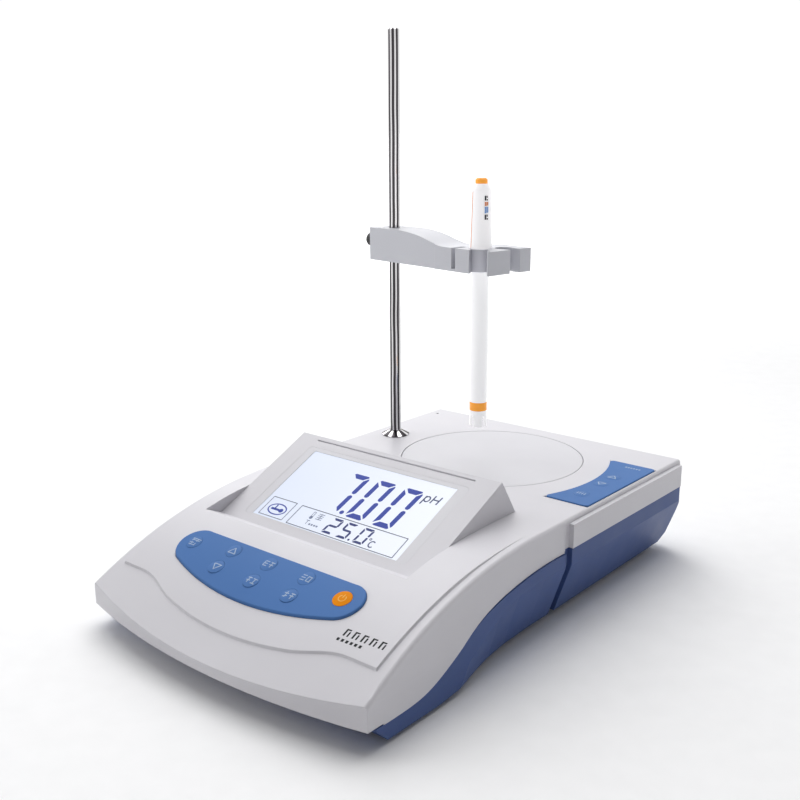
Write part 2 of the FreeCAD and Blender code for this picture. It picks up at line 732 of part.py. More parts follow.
# ---- front keypad ----
def make_keypad():
    pad = plan_prism(keypad_plan(0), -10, 90).common(panel_slab(-KEYPAD_SINK, KEYPAD_RISE))
    top = max(pad.Faces, key=lambda f: f.CenterOfMass.z if f.Area > 4000 else -100)
    pad = pad.makeFillet(KEYPAD_EDGE_R, top.Edges)
    for _, x, y, r in key_places():
        pad = pad.cut(key_post(x, y, -8, 8, r + KEY_GAP))
    return pad


def make_key(x, y, r):
    """Domed key: a round cap and a thinner stem towards the switch board."""
    return on_keypad(domed_cap(r, -0.5, KEYPAD_RISE).fuse(post(0, 0, -6.0, -0.5, 2.6)), x, y)


def make_key_board():
    tilt = math.radians(KEY_TILT)
    up = Vector(0, -math.sin(tilt), math.cos(tilt))
    board = box(-74, 72, -15, 15, -1.6, 0)
    board.rotate(Vector(0, 0, 0), Vector(1, 0, 0), KEY_TILT)
    board.translate(Vector(KEYPAD_X, 42, key_height(42)) + up * -8.2)
    return board


# ---- stirrer ----
def make_stir_plate():
    plate = post(STIR_X, STIR_Y, PLATE_Z - STIR_PLATE_T, PLATE_Z, STIR_R)
    rim = [e for e in plate.Edges if e.CenterOfMass.z > PLATE_Z - 0.1 and e.BoundBox.XLength > STIR_R]
    return plate.makeChamfer(0.3, rim)


def make_stir_keypad():
    pad = plan_prism(stir_keypad_plan(0), PLATE_Z - 1.0, PLATE_Z + STIR_KEYPAD_RISE)
    uprights = [e for e in pad.Edges if abs(e.tangentAt(e.FirstParameter).z) > 0.99]
    pad = pad.makeFillet(2.6, uprights)
    top = max(pad.Faces, key=lambda f: f.CenterOfMass.z)
    pad = pad.makeFillet(0.5, top.Edges)
    for y in STIR_KEY_YS:
        pad = pad.cut(post(STIR_KEY_X, y, PLATE_Z - 5, PLATE_Z + 5, KEY_R + KEY_GAP))
    return pad


def make_stir_key(y):
    key = domed_cap(KEY_R, -0.3, STIR_KEYPAD_RISE).fuse(post(0, 0, -6.0, -0.3, 2.6))
    key.translate(Vector(STIR_KEY_X, y, PLATE_Z))
    return key


def make_stir_motor():
    body = post(STIR_X, STIR_Y, MOTOR_Z0, MOTOR_Z1, MOTOR_R)
    body = body.fuse(post(STIR_X, STIR_Y, MOTOR_Z1, MOTOR_Z1 + BRACKET_T + 0.6, 4.5))
    return body.cut(post(STIR_X, STIR_Y, MOTOR_Z0 + 4, MOTOR_Z1 + 10, MOTOR_SHAFT_R + SHAFT_CLEARANCE))


def make_motor_bracket():
    plate = box(STIR_X - 34, STIR_X + 34, STIR_Y - 20, STIR_Y + 20, MOTOR_Z1, MOTOR_Z1 + BRACKET_T)
    plate = plate.cut(post(STIR_X, STIR_Y, MOTOR_Z1 - 1, MOTOR_Z1 + 10, 4.5))
    for s in (-1, 1):
        x = STIR_X + s * 33
        plate = plate.fuse(box(x - 1, x + 1, STIR_Y - 20, STIR_Y + 20, BASE_FLOOR_Z + WALL, MOTOR_Z1))
        foot = box(min(x, x + s * 10), max(x, x + s * 10), STIR_Y - 20, STIR_Y + 20, BASE_FLOOR_Z + WALL,
                   BASE_FLOOR_Z + WALL + BRACKET_T)
        plate = plate.fuse(foot)
    return plate.removeSplitter()


def make_magnet_carrier():
    disc = post(STIR_X, STIR_Y, ROTOR_Z0, ROTOR_Z1, ROTOR_R)
    disc = disc.fuse(post(STIR_X, STIR_Y, ROTOR_Z0 - 3, ROTOR_Z0, 5))
    for s in (-1, 1):
        disc = disc.cut(post(STIR_X + s * MAGNET_OFFSET, STIR_Y, ROTOR_Z1 - 2.5, ROTOR_Z1 + 1, MAGNET_R))
    return disc.cut(post(STIR_X, STIR_Y, ROTOR_Z0 - 5, ROTOR_Z1 - 1, MOTOR_SHAFT_R))


def make_drive_magnets():
    magnets = [post(STIR_X + s * MAGNET_OFFSET, STIR_Y, ROTOR_Z1 - 2.5, ROTOR_Z1 - 2.5 + MAGNET_H, MAGNET_R)
               for s in (-1, 1)]
    return Part.makeCompound(magnets)


def make_motor_shaft():
    return post(STIR_X, STIR_Y, MOTOR_Z0 + 5, ROTOR_Z1 - 1, MOTOR_SHAFT_R)


# ---- boards and rear sockets ----
def make_main_board():
    x0, x1, y0, y1 = BOARD
    board = box(x0, x1, y0, y1, BOARD_Z, BOARD_Z + BOARD_T)
    for x, y in board_post_places():
        board = board.cut(post(x, y, BOARD_Z - 1, BOARD_Z + 3, 1.6))
    return board


def make_board_chips():
    z = BOARD_Z + BOARD_T
    chips = [box(-40, -22, 150, 168, z, z + 2.2)]
    chips.append(box(0, 12, 140, 158, z, z + 1.8))
    chips.append(box(24, 40, 176, 186, z, z + 6))
    chips.append(post(-60, 180, z, z + 12, 5))
    chips.append(post(-46, 186, z, z + 9, 4))
    return Part.makeCompound(chips)


def make_board_screws():
    screws = []
    for x, y in board_post_places():
        top = BOARD_Z + BOARD_T
        screws.append(post(x, y, top - 6, top, 1.2).fuse(post(x, y, top, top + 1.6, 2.6)))
    return Part.makeCompound(screws)


def make_rear_panel():
    y1 = CASE_REAR - BASE_INSET
    panel = box(-90, 90, y1 - WALL, y1, 4, 30)
    panel = panel.cut(bar_y(SOCKETS["bnc"], SOCKET_Z, y1 - 10, y1 + 5, 6.0))
    panel = panel.cut(bar_y(SOCKETS["reference"], SOCKET_Z, y1 - 10, y1 + 5, 3.0))
    panel = panel.cut(bar_y(SOCKETS["temperature"], SOCKET_Z, y1 - 10, y1 + 5, TEMPERATURE_R))
    panel = panel.cut(bar_y(SOCKETS["power"], SOCKET_Z, y1 - 10, y1 + 5, POWER_R))
    x = SOCKETS["serial"]
    return panel.cut(box(x - 12.5, x + 12.5, y1 - 10, y1 + 5, SOCKET_Z - 5.5, SOCKET_Z + 5.5))


def make_measuring_socket():
    """Bayonet socket: flanged body, barrel with two lugs, hollow round a centre contact."""
    x = SOCKETS["bnc"]
    y1 = CASE_REAR - BASE_INSET
    tip = CASE_REAR + REAR_PANEL_OVERHANG
    body = bar_y(x, SOCKET_Z, y1 - 12, y1, 6.0)
    body = body.fuse(bar_y(x, SOCKET_Z, y1, y1 + 2.0, 8.0))
    body = body.fuse(bar_y(x, SOCKET_Z, y1 + 2.0, tip, BNC_R))
    body = body.fuse(bar_y(x, SOCKET_Z, tip - 4.2, tip - 2.2, 1.0))
    lug = Part.makeCylinder(1.0, 11.2, Vector(x, tip - 4.0, SOCKET_Z - 5.6), Vector(0, 0, 1))
    body = body.fuse(lug)
    body = body.cut(bar_y(x, SOCKET_Z, tip - 9, tip + 1, 3.6))
    return body.fuse(tube_y(x, SOCKET_Z, tip - 9.5, tip - 1.5, 1.4, 0.6))


def tube_y(x, z, y0, y1, outer, inner):
    """Tube along Y."""
    return bar_y(x, z, y0, y1, outer).cut(bar_y(x, z, y0 + 1, y1 + 1, inner))


def make_reference_post():
    """Binding post for a separate reference electrode."""
    x = SOCKETS["reference"]
    y1 = CASE_REAR - BASE_INSET
    body = bar_y(x, SOCKET_Z, y1 - 8, y1, 3.0)
    body = body.fuse(bar_y(x, SOCKET_Z, y1, y1 + 2.5, 5.0))
    body = body.fuse(bar_y(x, SOCKET_Z, y1 + 2.5, y1 + 10.5, 4.0))
    return body.cut(bar_y(x, SOCKET_Z, y1 - 1, y1 + 11, BANANA_R))


def make_temperature_socket():
    x = SOCKETS["temperature"]
    y1 = CASE_REAR - BASE_INSET
    body = bar_y(x, SOCKET_Z, y1 - 10, y1, TEMPERATURE_R).fuse(bar_y(x, SOCKET_Z, y1, y1 + 1.8, 9.5))
    body = body.cut(bar_y(x, SOCKET_Z, y1 - 7, y1 + 3, 6.0))
    for k in range(4):
        a = math.radians(45 + 90 * k)
        pin = bar_y(x + 3.2 * math.cos(a), SOCKET_Z + 3.2 * math.sin(a), y1 - 7.5, y1 - 1.5, 0.6)
        body = body.fuse(pin)
    return body


def make_serial_port():
    x = SOCKETS["serial"]
    y1 = CASE_REAR - BASE_INSET
    body = box(x - 12.5, x + 12.5, y1 - 9, y1, SOCKET_Z - 5.5, SOCKET_Z + 5.5)
    body = body.fuse(box(x - 15.4, x + 15.4, y1, y1 + 0.8, SOCKET_Z - 6.2, SOCKET_Z + 6.2))
    shell = box(x - 8.4, x + 8.4, y1 + 0.8, y1 + 6.0, SOCKET_Z - 4.1, SOCKET_Z + 4.1)
    body = body.fuse(shell)
    body = body.cut(box(x - 7.8, x + 7.8, y1 + 1.2, y1 + 8, SOCKET_Z - 3.5, SOCKET_Z + 3.5))
    for k in range(9):
        px = x + (k - 2) * 2.7 if k < 5 else x + (k - 6.5) * 2.7
        pz = SOCKET_Z + 1.4 if k < 5 else SOCKET_Z - 1.4
        body = body.fuse(bar_y(px, pz, y1 + 1.0, y1 + 5.2, 0.5))
    return body


def make_power_jack():
    x = SOCKETS["power"]
    y1 = CASE_REAR - BASE_INSET
    body = bar_y(x, SOCKET_Z, y1 - 13, y1, POWER_R).fuse(bar_y(x, SOCKET_Z, y1, y1 + 1.6, 6.5))
    body = body.cut(bar_y(x, SOCKET_Z, y1 - 9, y1 + 3, 2.8))
    return body.fuse(bar_y(x, SOCKET_Z, y1 - 9.5, y1 - 0.5, 1.05))


# ---- stand ----
def make_stand_rod():
    rod = post(ROD_X, ROD_Y, ROD_BOTTOM, ROD_TOP, ROD_R)
    ends = [e for e in rod.Edges if e.CenterOfMass.z > ROD_TOP - 0.1 and e.BoundBox.XLength > ROD_R]
    return rod.makeChamfer(0.6, ends)


def make_rod_flange():
    """Low domed collar on the plate."""
    z = PLATE_Z
    profile = [Vector(ROD_R, 0, z), Vector(FLANGE_R, 0, z), Vector(FLANGE_R, 0, z + 0.8)]
    dome = Part.Arc(profile[2], Vector(FLANGE_R - 3.4, 0, z + 2.6), Vector(ROD_R + 1.0, 0, z + 3.6)).toShape()
    lines = [Part.makeLine(profile[0], profile[1]), Part.makeLine(profile[1], profile[2]), dome,
             Part.makeLine(Vector(ROD_R + 1.0, 0, z + 3.6), Vector(ROD_R, 0, z + 3.6)),
             Part.makeLine(Vector(ROD_R, 0, z + 3.6), profile[0])]
    collar = Part.Face(Part.Wire(lines)).revolve(Vector(0, 0, 0), Vector(0, 0, 1), 360)
    collar.translate(Vector(ROD_X, ROD_Y, 0))
    return collar


def make_rod_nut():
    """Hexagon nut and washer under the plate."""
    z1 = PLATE_Z - WALL
    turns = [math.radians(60 * k) for k in range(6)]
    corners = [Vector(8 * math.cos(a), 8 * math.sin(a), 0) for a in turns]
    nut = Part.Face(Part.Wire(polyline(corners))).extrude(Vector(0, 0, 6.5))
    nut.translate(Vector(ROD_X, ROD_Y, z1 - 8))
    nut = nut.fuse(post(ROD_X, ROD_Y, z1 - 1.5, z1, 9.5))
    return nut.cut(post(ROD_X, ROD_Y, z1 - 10, z1 + 1, ROD_R))


# ---- holder arm: drawn along +X from the rod's axis, then turned ----
def make_rod_sleeve():
    """Split bush on the rod, with a collar let into each face of the arm."""
    sleeve = upright(0, 0, SLEEVE_R, ARM_Z0, ARM_Z1)
    for z in (ARM_Z0, ARM_Z1 - COLLAR_H):
        sleeve = sleeve.fuse(upright(0, 0, COLLAR_R, z, z + COLLAR_H))
    bore = upright(0, 0, ROD_R + RUNNING_GAP)
    slot = box(-12, 0, -0.9, 0.9, ARM_Z0 - 5, ARM_Z1 + 5)
    return on_arm(sleeve.cut(bore).cut(slot))


def arm_side():
    """Side outline of the arm: deep at the rod, curving down to the head."""
    top = Part.BezierCurve()
    top.setPoles([Vector(14, 0, ARM_Z1), Vector(30, 0, ARM_Z1), Vector(40, 0, 209.6), Vector(50, 0, 206.9)])
    drop = Part.BezierCurve()
    drop.setPoles([Vector(50, 0, 206.9), Vector(57, 0, 205.0), Vector(62, 0, HEAD_TOP),
                   Vector(70, 0, HEAD_TOP)])
    rear_top = Vector(ARM_REAR, 0, ARM_Z1)
    rear_low = Vector(ARM_REAR, 0, ARM_Z0)
    end_low = Vector(HEAD_END, 0, ARM_Z0)
    end_top = Vector(HEAD_END, 0, HEAD_TOP)
    return [Part.makeLine(rear_top, Vector(14, 0, ARM_Z1)), top.toShape(), drop.toShape(),
            Part.makeLine(Vector(70, 0, HEAD_TOP), end_top), Part.makeLine(end_top, end_low),
            Part.makeLine(end_low, rear_low), Part.makeLine(rear_low, rear_top)]


def arm_plan():
    """Plan outline of the arm and its head."""
    w = ARM_HALF_W
    front = -w - 1.2
    points = [Vector(ARM_REAR, -w, 0), Vector(HEAD_START, -w, 0), Vector(HEAD_START, front, 0),
              Vector(HEAD_END, front, 0), Vector(HEAD_END, HEAD_BACK_V, 0), Vector(84, HEAD_BACK_V, 0),
              Vector(66, w, 0), Vector(ARM_REAR, w, 0)]
    return polyline(points)


def upright(u, v, r, z0=ARM_Z0 - 10, z1=ARM_Z1 + 10):
    """Cylinder through the arm at a place along and across it."""
    return Part.makeCylinder(r, z1 - z0, Vector(u, v, z0), Vector(0, 0, 1))


def along_arm(u0, u1, r):
    """Cylinder on the clamp screw's axis."""
    return Part.makeCylinder(r, u1 - u0, Vector(u0, 0, CLAMP_Z), Vector(1, 0, 0))


def make_holder_arm():
    side = Part.Face(Part.Wire(arm_side()))
    side.translate(Vector(0, -60, 0))
    arm = side.extrude(Vector(0, 120, 0)).common(plan_prism(arm_plan(), 150, 250))
    arm = arm.cut(upright(0, 0, SLEEVE_R + RUNNING_GAP))
    seat_h = COLLAR_H + COLLAR_GAP
    for z in (ARM_Z0, ARM_Z1 - seat_h):
        arm = arm.cut(upright(0, 0, COLLAR_R + COLLAR_GAP, z, z + seat_h))
    # seat of the electrode grommet and its mouth, cut to the front
    arm = arm.cut(upright(ELECTRODE_U, 0, GROMMET_R))
    low = ARM_Z0 - 10
    start, end = FIRST_MOUTH
    mouth = [Vector(ELECTRODE_U - 5.6, 0, low), Vector(start, -14, low), Vector(start, -20, low),
             Vector(end, -20, low), Vector(end - 0.7, -10, low), Vector(ELECTRODE_U + 5.6, 0, low)]
    arm = arm.cut(Part.Face(Part.Wire(polyline(mouth))).extrude(Vector(0, 0, 60)))
    # spare electrode hole, open at the end of the arm
    u, v = SECOND_HOLE
    arm = arm.cut(upright(u, v, SPARE_R))
    arm = arm.cut(box(u, HEAD_END + 5, *SECOND_MOUTH, ARM_Z0 - 10, ARM_Z1 + 10))
    # temperature probe hole with a narrow slot to the front, over a thin floor
    u, v = PROBE_HOLE
    arm = arm.cut(upright(u, v, PROBE_R))
    arm = arm.cut(box(u - PROBE_SLOT_W / 2, u + PROBE_SLOT_W / 2, -20, v, ARM_Z0 + 1.8, ARM_Z1 + 10))
    # bore of the clamp screw, from the rear end to the rod
    arm = arm.cut(along_arm(ARM_REAR - 2, 0, CLAMP_SCREW_R + RUNNING_GAP))
    return on_arm(arm.removeSplitter())


def make_clip_grommet():
    """Split rubber ring that grips the electrode."""
    ring = upright(ELECTRODE_U, 0, GROMMET_R, ARM_Z0 + 0.4, HEAD_TOP - 0.3)
    ring = ring.cut(upright(ELECTRODE_U, 0, SHAFT_R + 0.3))
    return on_arm(ring.cut(box(ELECTRODE_U - 1, ELECTRODE_U + 1, 0, 12, ARM_Z0 - 5, ARM_Z1 + 5)))


def make_clamp_shoe():
    """Pad between the clamp screw and the sleeve."""
    return on_arm(along_arm(-SLEEVE_R - 0.5 - SHOE_T, -SLEEVE_R - 0.5, CLAMP_SCREW_R))


def make_clamp_knob():
    """Ribbed knob and its screw."""
    head_end = ARM_REAR - 3.6
    shank = along_arm(head_end - 1, -SLEEVE_R - 0.5 - SHOE_T - 0.05, CLAMP_SCREW_R)
    head = along_arm(KNOB_END, head_end, KNOB_R)
    rims = [e for e in head.Edges if e.BoundBox.YLength > KNOB_R]
    head = head.makeChamfer(KNOB_CHAMFER, rims)
    groove_r = KNOB_R + 0.25
    for k in range(KNOB_GROOVES):
        groove = along_arm(KNOB_END - 2, head_end + 2, 0.6)
        groove.translate(Vector(0, 0, groove_r))
        groove.rotate(Vector(0, 0, CLAMP_Z), Vector(1, 0, 0), 360.0 * k / KNOB_GROOVES)
        head = head.cut(groove)
    neck = along_arm(head_end - 0.2, ARM_REAR - 1.8, 3.4)
    return on_arm(head.fuse(neck).fuse(shank))


# ---- electrode: solids of revolution about the hole's axis ----
def lathe(points):
    """Solid of revolution about the electrode's axis, from (radius, height) points."""
    face = Part.Face(Part.Wire(polyline([Vector(r, 0, z) for r, z in points])))
    solid = face.revolve(Vector(0, 0, 0), Vector(0, 0, 1), 360)
    solid.translate(Vector(ELECTRODE_U, 0, 0))
    return on_arm(solid)


def make_electrode_handle():
    cap_foot = ELECTRODE_TOP - CAP_H
    return lathe([(0, HEAD_Z0), (HEAD_FOOT_R, HEAD_Z0), (HEAD_SHOULDER_R, HEAD_SHOULDER_Z),
                  (HEAD_SHOULDER_R - 0.5, HEAD_SHOULDER_Z + 1.3), (CAP_R + 0.6, cap_foot), (0, cap_foot)])


def make_electrode_cap():
    top = ELECTRODE_TOP
    return lathe([(0, top - CAP_H), (CAP_R, top - CAP_H), (CAP_R, top - 1.0), (CAP_R - 1.0, top),
                  (0, top)])


def make_electrode_shaft():
    return lathe([(CORE_R, RING_Z + RING_H), (SHAFT_R, RING_Z + RING_H), (SHAFT_R, HEAD_Z0),
                  (CORE_R, HEAD_Z0)])


def make_electrode_ring():
    return lathe([(CORE_R, RING_Z), (SHAFT_R, RING_Z), (SHAFT_R, RING_Z + RING_H), (CORE_R, RING_Z + RING_H)])


def make_tip_guard():
    """Open cage round the bulb: a tube with four windows and an open end."""
    guard = lathe([(4.4, ELECTRODE_TIP), (SHAFT_R, ELECTRODE_TIP), (SHAFT_R, RING_Z), (CORE_R, RING_Z),
                   (CORE_R, RING_Z - 3), (4.4, RING_Z - 4)])
    low = ELECTRODE_TIP - 1
    slot_a = box(ELECTRODE_U - 10, ELECTRODE_U + 10, -1.6, 1.6, low, GUARD_WINDOW_TOP)
    slot_b = box(ELECTRODE_U - 1.6, ELECTRODE_U + 1.6, -10, 10, low, GUARD_WINDOW_TOP)
    return guard.cut(on_arm(slot_a)).cut(on_arm(slot_b))


def make_glass_bulb():
    """Stem and pH-sensitive bulb."""
    stem_top = RING_Z + 60
    stem_r = 2.8
    center_z = ELECTRODE_TIP + 5.4
    ball = Part.makeSphere(BULB_R, Vector(ELECTRODE_U, 0, center_z))
    stem = upright(ELECTRODE_U, 0, stem_r, center_z, stem_top)
    return on_arm(ball.fuse(stem))


def make_reference_element():
    """Coated silver wire above the glass stem."""
    return on_arm(upright(ELECTRODE_U, 0, 0.8, RING_Z + 60, HEAD_Z0))


# ---- write every piece ----
def all_pieces():
    pieces = {
        "top_cover": make_top_cover(),
        "base_shell": make_base_shell(),
        "rear_panel": make_rear_panel(),
        "front_feet": make_feet(FRONT_FOOT_Y, SKID_Z, 7.0),
        "rear_feet": make_feet(REAR_FOOT_Y, BASE_FLOOR_Z, 7.0),
        "case_screws": make_case_screws(),
        "display_window": make_display_window(),
        "lcd_panel": make_lcd_panel(),
        "backlight": make_backlight(),
        "lcd_frame": make_lcd_frame(),
        "keypad": make_keypad(),
        "key_board": make_key_board(),
        "stir_plate": make_stir_plate(),
        "stir_keypad": make_stir_keypad(),
        "stir_motor": make_stir_motor(),
        "motor_bracket": make_motor_bracket(),
        "magnet_carrier": make_magnet_carrier(),
        "drive_magnets": make_drive_magnets(),
        "motor_shaft": make_motor_shaft(),
        "main_board": make_main_board(),
        "board_chips": make_board_chips(),
        "board_screws": make_board_screws(),
        "measuring_socket": make_measuring_socket(),
        "reference_post": make_reference_post(),
        "temperature_socket": make_temperature_socket(),
        "serial_port": make_serial_port(),
        "power_jack": make_power_jack(),
        "stand_rod": make_stand_rod(),
        "rod_flange": make_rod_flange(),
        "rod_nut": make_rod_nut(),
        "rod_sleeve": make_rod_sleeve(),
        "holder_arm": make_holder_arm(),
        "clip_grommet": make_clip_grommet(),
        "clamp_shoe": make_clamp_shoe(),
        "clamp_knob": make_clamp_knob(),
        "electrode_handle": make_electrode_handle(),
        "electrode_cap": make_electrode_cap(),
        "electrode_shaft": make_electrode_shaft(),
        "electrode_ring": make_electrode_ring(),
        "tip_guard": make_tip_guard(),
        "glass_bulb": make_glass_bulb(),
        "reference_element": make_reference_element(),
    }
    for name, x, y, r in key_places():
        pieces[name] = make_key(x, y, r)
    for name, y in zip(("stir_key_run", "stir_key_slower", "stir_key_faster"), STIR_KEY_YS):
        pieces[name] = make_stir_key(y)
    return pieces


os.makedirs("parts", exist_ok=True)
for node, shape in all_pieces().items():
    shape.translate(TO_FRAME)
    shape.exportStep("parts/" + node + ".step")
    print(node, "valid" if shape.isValid() else "INVALID", len(shape.Solids), round(shape.Volume, 1))
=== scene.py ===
import json
import math
import bmesh
import bpy
from mathutils import Matrix, Vector


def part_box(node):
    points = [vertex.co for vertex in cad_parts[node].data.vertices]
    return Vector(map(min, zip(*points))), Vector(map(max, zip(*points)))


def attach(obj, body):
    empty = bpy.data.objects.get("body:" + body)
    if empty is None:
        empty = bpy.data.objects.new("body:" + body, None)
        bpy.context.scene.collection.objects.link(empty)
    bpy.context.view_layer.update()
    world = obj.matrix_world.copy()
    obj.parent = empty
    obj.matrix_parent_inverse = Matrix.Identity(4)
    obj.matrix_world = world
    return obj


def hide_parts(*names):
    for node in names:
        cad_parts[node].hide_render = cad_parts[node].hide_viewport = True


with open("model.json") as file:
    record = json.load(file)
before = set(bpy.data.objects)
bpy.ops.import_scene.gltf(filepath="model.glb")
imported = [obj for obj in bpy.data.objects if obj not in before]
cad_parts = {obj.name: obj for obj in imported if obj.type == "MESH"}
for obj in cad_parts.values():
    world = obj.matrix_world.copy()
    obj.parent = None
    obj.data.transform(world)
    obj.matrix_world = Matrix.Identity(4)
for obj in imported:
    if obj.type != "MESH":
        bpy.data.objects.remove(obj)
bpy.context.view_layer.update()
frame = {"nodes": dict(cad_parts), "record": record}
record = frame["record"]
MM = 0.001

# ---- the display's sloping face, with its local z pointing out of the window ----
FACET_SLOPE = 0.468
LENS_T = 1.48 * MM
LENS_D = 69.0 * MM
LENS_CORNER = 3.0 * MM
LENS_EDGE = 0.1 * MM
SCREEN_W = 121.5 * MM
SCREEN_D = 64.6 * MM
SCREEN_X = -0.3 * MM
SCREEN_Y = -1.0 * MM
SCREEN_CORNER = 0.5 * MM
lens_low, lens_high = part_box("display_window")
LENS_W = lens_high.x - lens_low.x
FACET = Matrix.Rotation(math.atan(FACET_SLOPE), 4, "X")
FACET_UP = FACET @ Vector((0, 0, 1))
FACET.translation = (lens_low + lens_high) / 2 + FACET_UP * (LENS_T / 2)

# ---- edges sharper than these angles, in degrees, stay sharp ----
PIECE_EDGE = 35.0
DISPLAY_EDGE = 30.0
NODE_EDGE = 28.0


# ---- shader nodes ----
NOISE_LOW = 0.3
NOISE_HIGH = 0.7


def new_material(name):
    """Empty node material with its shader and output."""
    mat = bpy.data.materials.new(name)
    mat.use_nodes = True
    tree = mat.node_tree
    tree.nodes.clear()
    out = tree.nodes.new("ShaderNodeOutputMaterial")
    shader = tree.nodes.new("ShaderNodeBsdfPrincipled")
    tree.links.new(shader.outputs["BSDF"], out.inputs["Surface"])
    return mat, tree, shader


def object_place(tree):
    """Object coordinates, which are the row frame's metres."""
    return tree.nodes.new("ShaderNodeTexCoord").outputs["Object"]


def noise(tree, scale, detail=3.0, stretch=(1, 1, 1)):
    """Noise in object coordinates, mostly between NOISE_LOW and NOISE_HIGH."""
    mapping = tree.nodes.new("ShaderNodeMapping")
    mapping.inputs["Scale"].default_value = stretch
    tex = tree.nodes.new("ShaderNodeTexNoise")
    tex.inputs["Scale"].default_value = scale
    tex.inputs["Detail"].default_value = detail
    tree.links.new(object_place(tree), mapping.inputs["Vector"])
    tree.links.new(mapping.outputs["Vector"], tex.inputs["Vector"])
    return tex.outputs["Fac"]


def ramp(tree, source, low, high, start=NOISE_LOW, end=NOISE_HIGH):
    """Colour ramp between two colours."""
    node = tree.nodes.new("ShaderNodeValToRGB")
    node.color_ramp.elements[0].position = start
    node.color_ramp.elements[1].position = end
    node.color_ramp.elements[0].color = (*low, 1)
    node.color_ramp.elements[1].color = (*high, 1)
    tree.links.new(source, node.inputs["Fac"])
    return node.outputs["Color"]


def map_range(tree, source, start, end, low=0.0, high=1.0, kind="LINEAR"):
    """Maps a value between start and end to a value between low and high."""
    node = tree.nodes.new("ShaderNodeMapRange")
    node.interpolation_type = kind
    node.inputs["From Min"].default_value = start
    node.inputs["From Max"].default_value = end
    node.inputs["To Min"].default_value = low
    node.inputs["To Max"].default_value = high
    tree.links.new(source, node.inputs["Value"])
    return node.outputs["Result"]


def spread(tree, source, low, high):
    """Maps noise to a range of values."""
    return map_range(tree, source, NOISE_LOW, NOISE_HIGH, low, high)


def smooth_share(tree, source, start, end, top=1.0):
    """Smooth step of a value, from 0 at the start to the top value at the end."""
    return map_range(tree, source, start, end, 0.0, top, "SMOOTHSTEP")


def maths(tree, operation, *values):
    """Math node, fed with numbers and with outputs of other nodes."""
    node = tree.nodes.new("ShaderNodeMath")
    node.operation = operation
    for socket, value in zip(node.inputs, values):
        if isinstance(value, bpy.types.NodeSocket):
            tree.links.new(value, socket)
        else:
            socket.default_value = value
    return node.outputs["Value"]


def separate(tree, vector):
    """Outputs X, Y and Z of a vector."""
    split = tree.nodes.new("ShaderNodeSeparateXYZ")
    tree.links.new(vector, split.inputs["Vector"])
    return split.outputs


def bump(tree, shader, height, strength, distance, rounding):
    """Fine relief, over edges softened by a small radius."""
    node = tree.nodes.new("ShaderNodeBump")
    node.inputs["Strength"].default_value = strength
    node.inputs["Distance"].default_value = distance
    tree.links.new(height, node.inputs["Height"])
    bevel = tree.nodes.new("ShaderNodeBevel")
    bevel.samples = 6
    bevel.inputs["Radius"].default_value = rounding
    tree.links.new(bevel.outputs["Normal"], node.inputs["Normal"])
    tree.links.new(node.outputs["Normal"], shader.inputs["Normal"])


# ---- kinds of material; colours are linear, lengths in metres ----
GRAIN_DEPTH = 0.05 * MM
TURNED_DEPTH = 0.02 * MM
ROUGH_DRIFT = 0.05
METAL_POLISH = 0.8
METAL_HAZE = 1.3


def moulded_plastic(name, color, rough, grain=2600, relief=0.12, rounding=0.4 * MM, tint=0.03,
                    gloss=0.35, glow=0.0):
    """Moulded plastic: spark-eroded grain, a slight drift of colour and of gloss; a glow above zero adds
    painted light, as the plastic's own emission.
    """
    mat, tree, shader = new_material(name)
    low = tuple(max(0.0, c * (1 - tint)) for c in color)
    high = tuple(min(1.0, c * (1 + tint)) for c in color)
    tone = ramp(tree, noise(tree, 9.0, 4.0), low, high)
    tree.links.new(tone, shader.inputs["Base Color"])
    smudges = spread(tree, noise(tree, 45.0, 5.0), rough - ROUGH_DRIFT, rough + ROUGH_DRIFT)
    tree.links.new(smudges, shader.inputs["Roughness"])
    bump(tree, shader, noise(tree, grain, 2.0), relief, GRAIN_DEPTH, rounding)
    shader.inputs["Specular IOR Level"].default_value = gloss
    # painted light: with a glow the plastic shines in its own colour, though it is no lamp
    if glow:
        tree.links.new(tone, shader.inputs["Emission Color"])
        shader.inputs["Emission Strength"].default_value = glow
    return mat


def key_plastic(name, color, rough, relief, tint, gloss):
    """Plastic of the keypads and keys: finer grain, small edges and little gloss."""
    return moulded_plastic(name, color, rough, 3200, relief, 0.3 * MM, tint, gloss)


def metal(name, color, rough):
    """Bright metal with fine marks of turning or plating."""
    mat, tree, shader = new_material(name)
    marks = noise(tree, 600, 4.0)
    low = tuple(c * 0.92 for c in color)
    tree.links.new(ramp(tree, marks, low, color), shader.inputs["Base Color"])
    shader.inputs["Metallic"].default_value = 1.0
    tree.links.new(spread(tree, marks, rough * METAL_POLISH, rough * METAL_HAZE), shader.inputs["Roughness"])
    bump(tree, shader, marks, 0.1, TURNED_DEPTH, 0.2 * MM)
    return mat


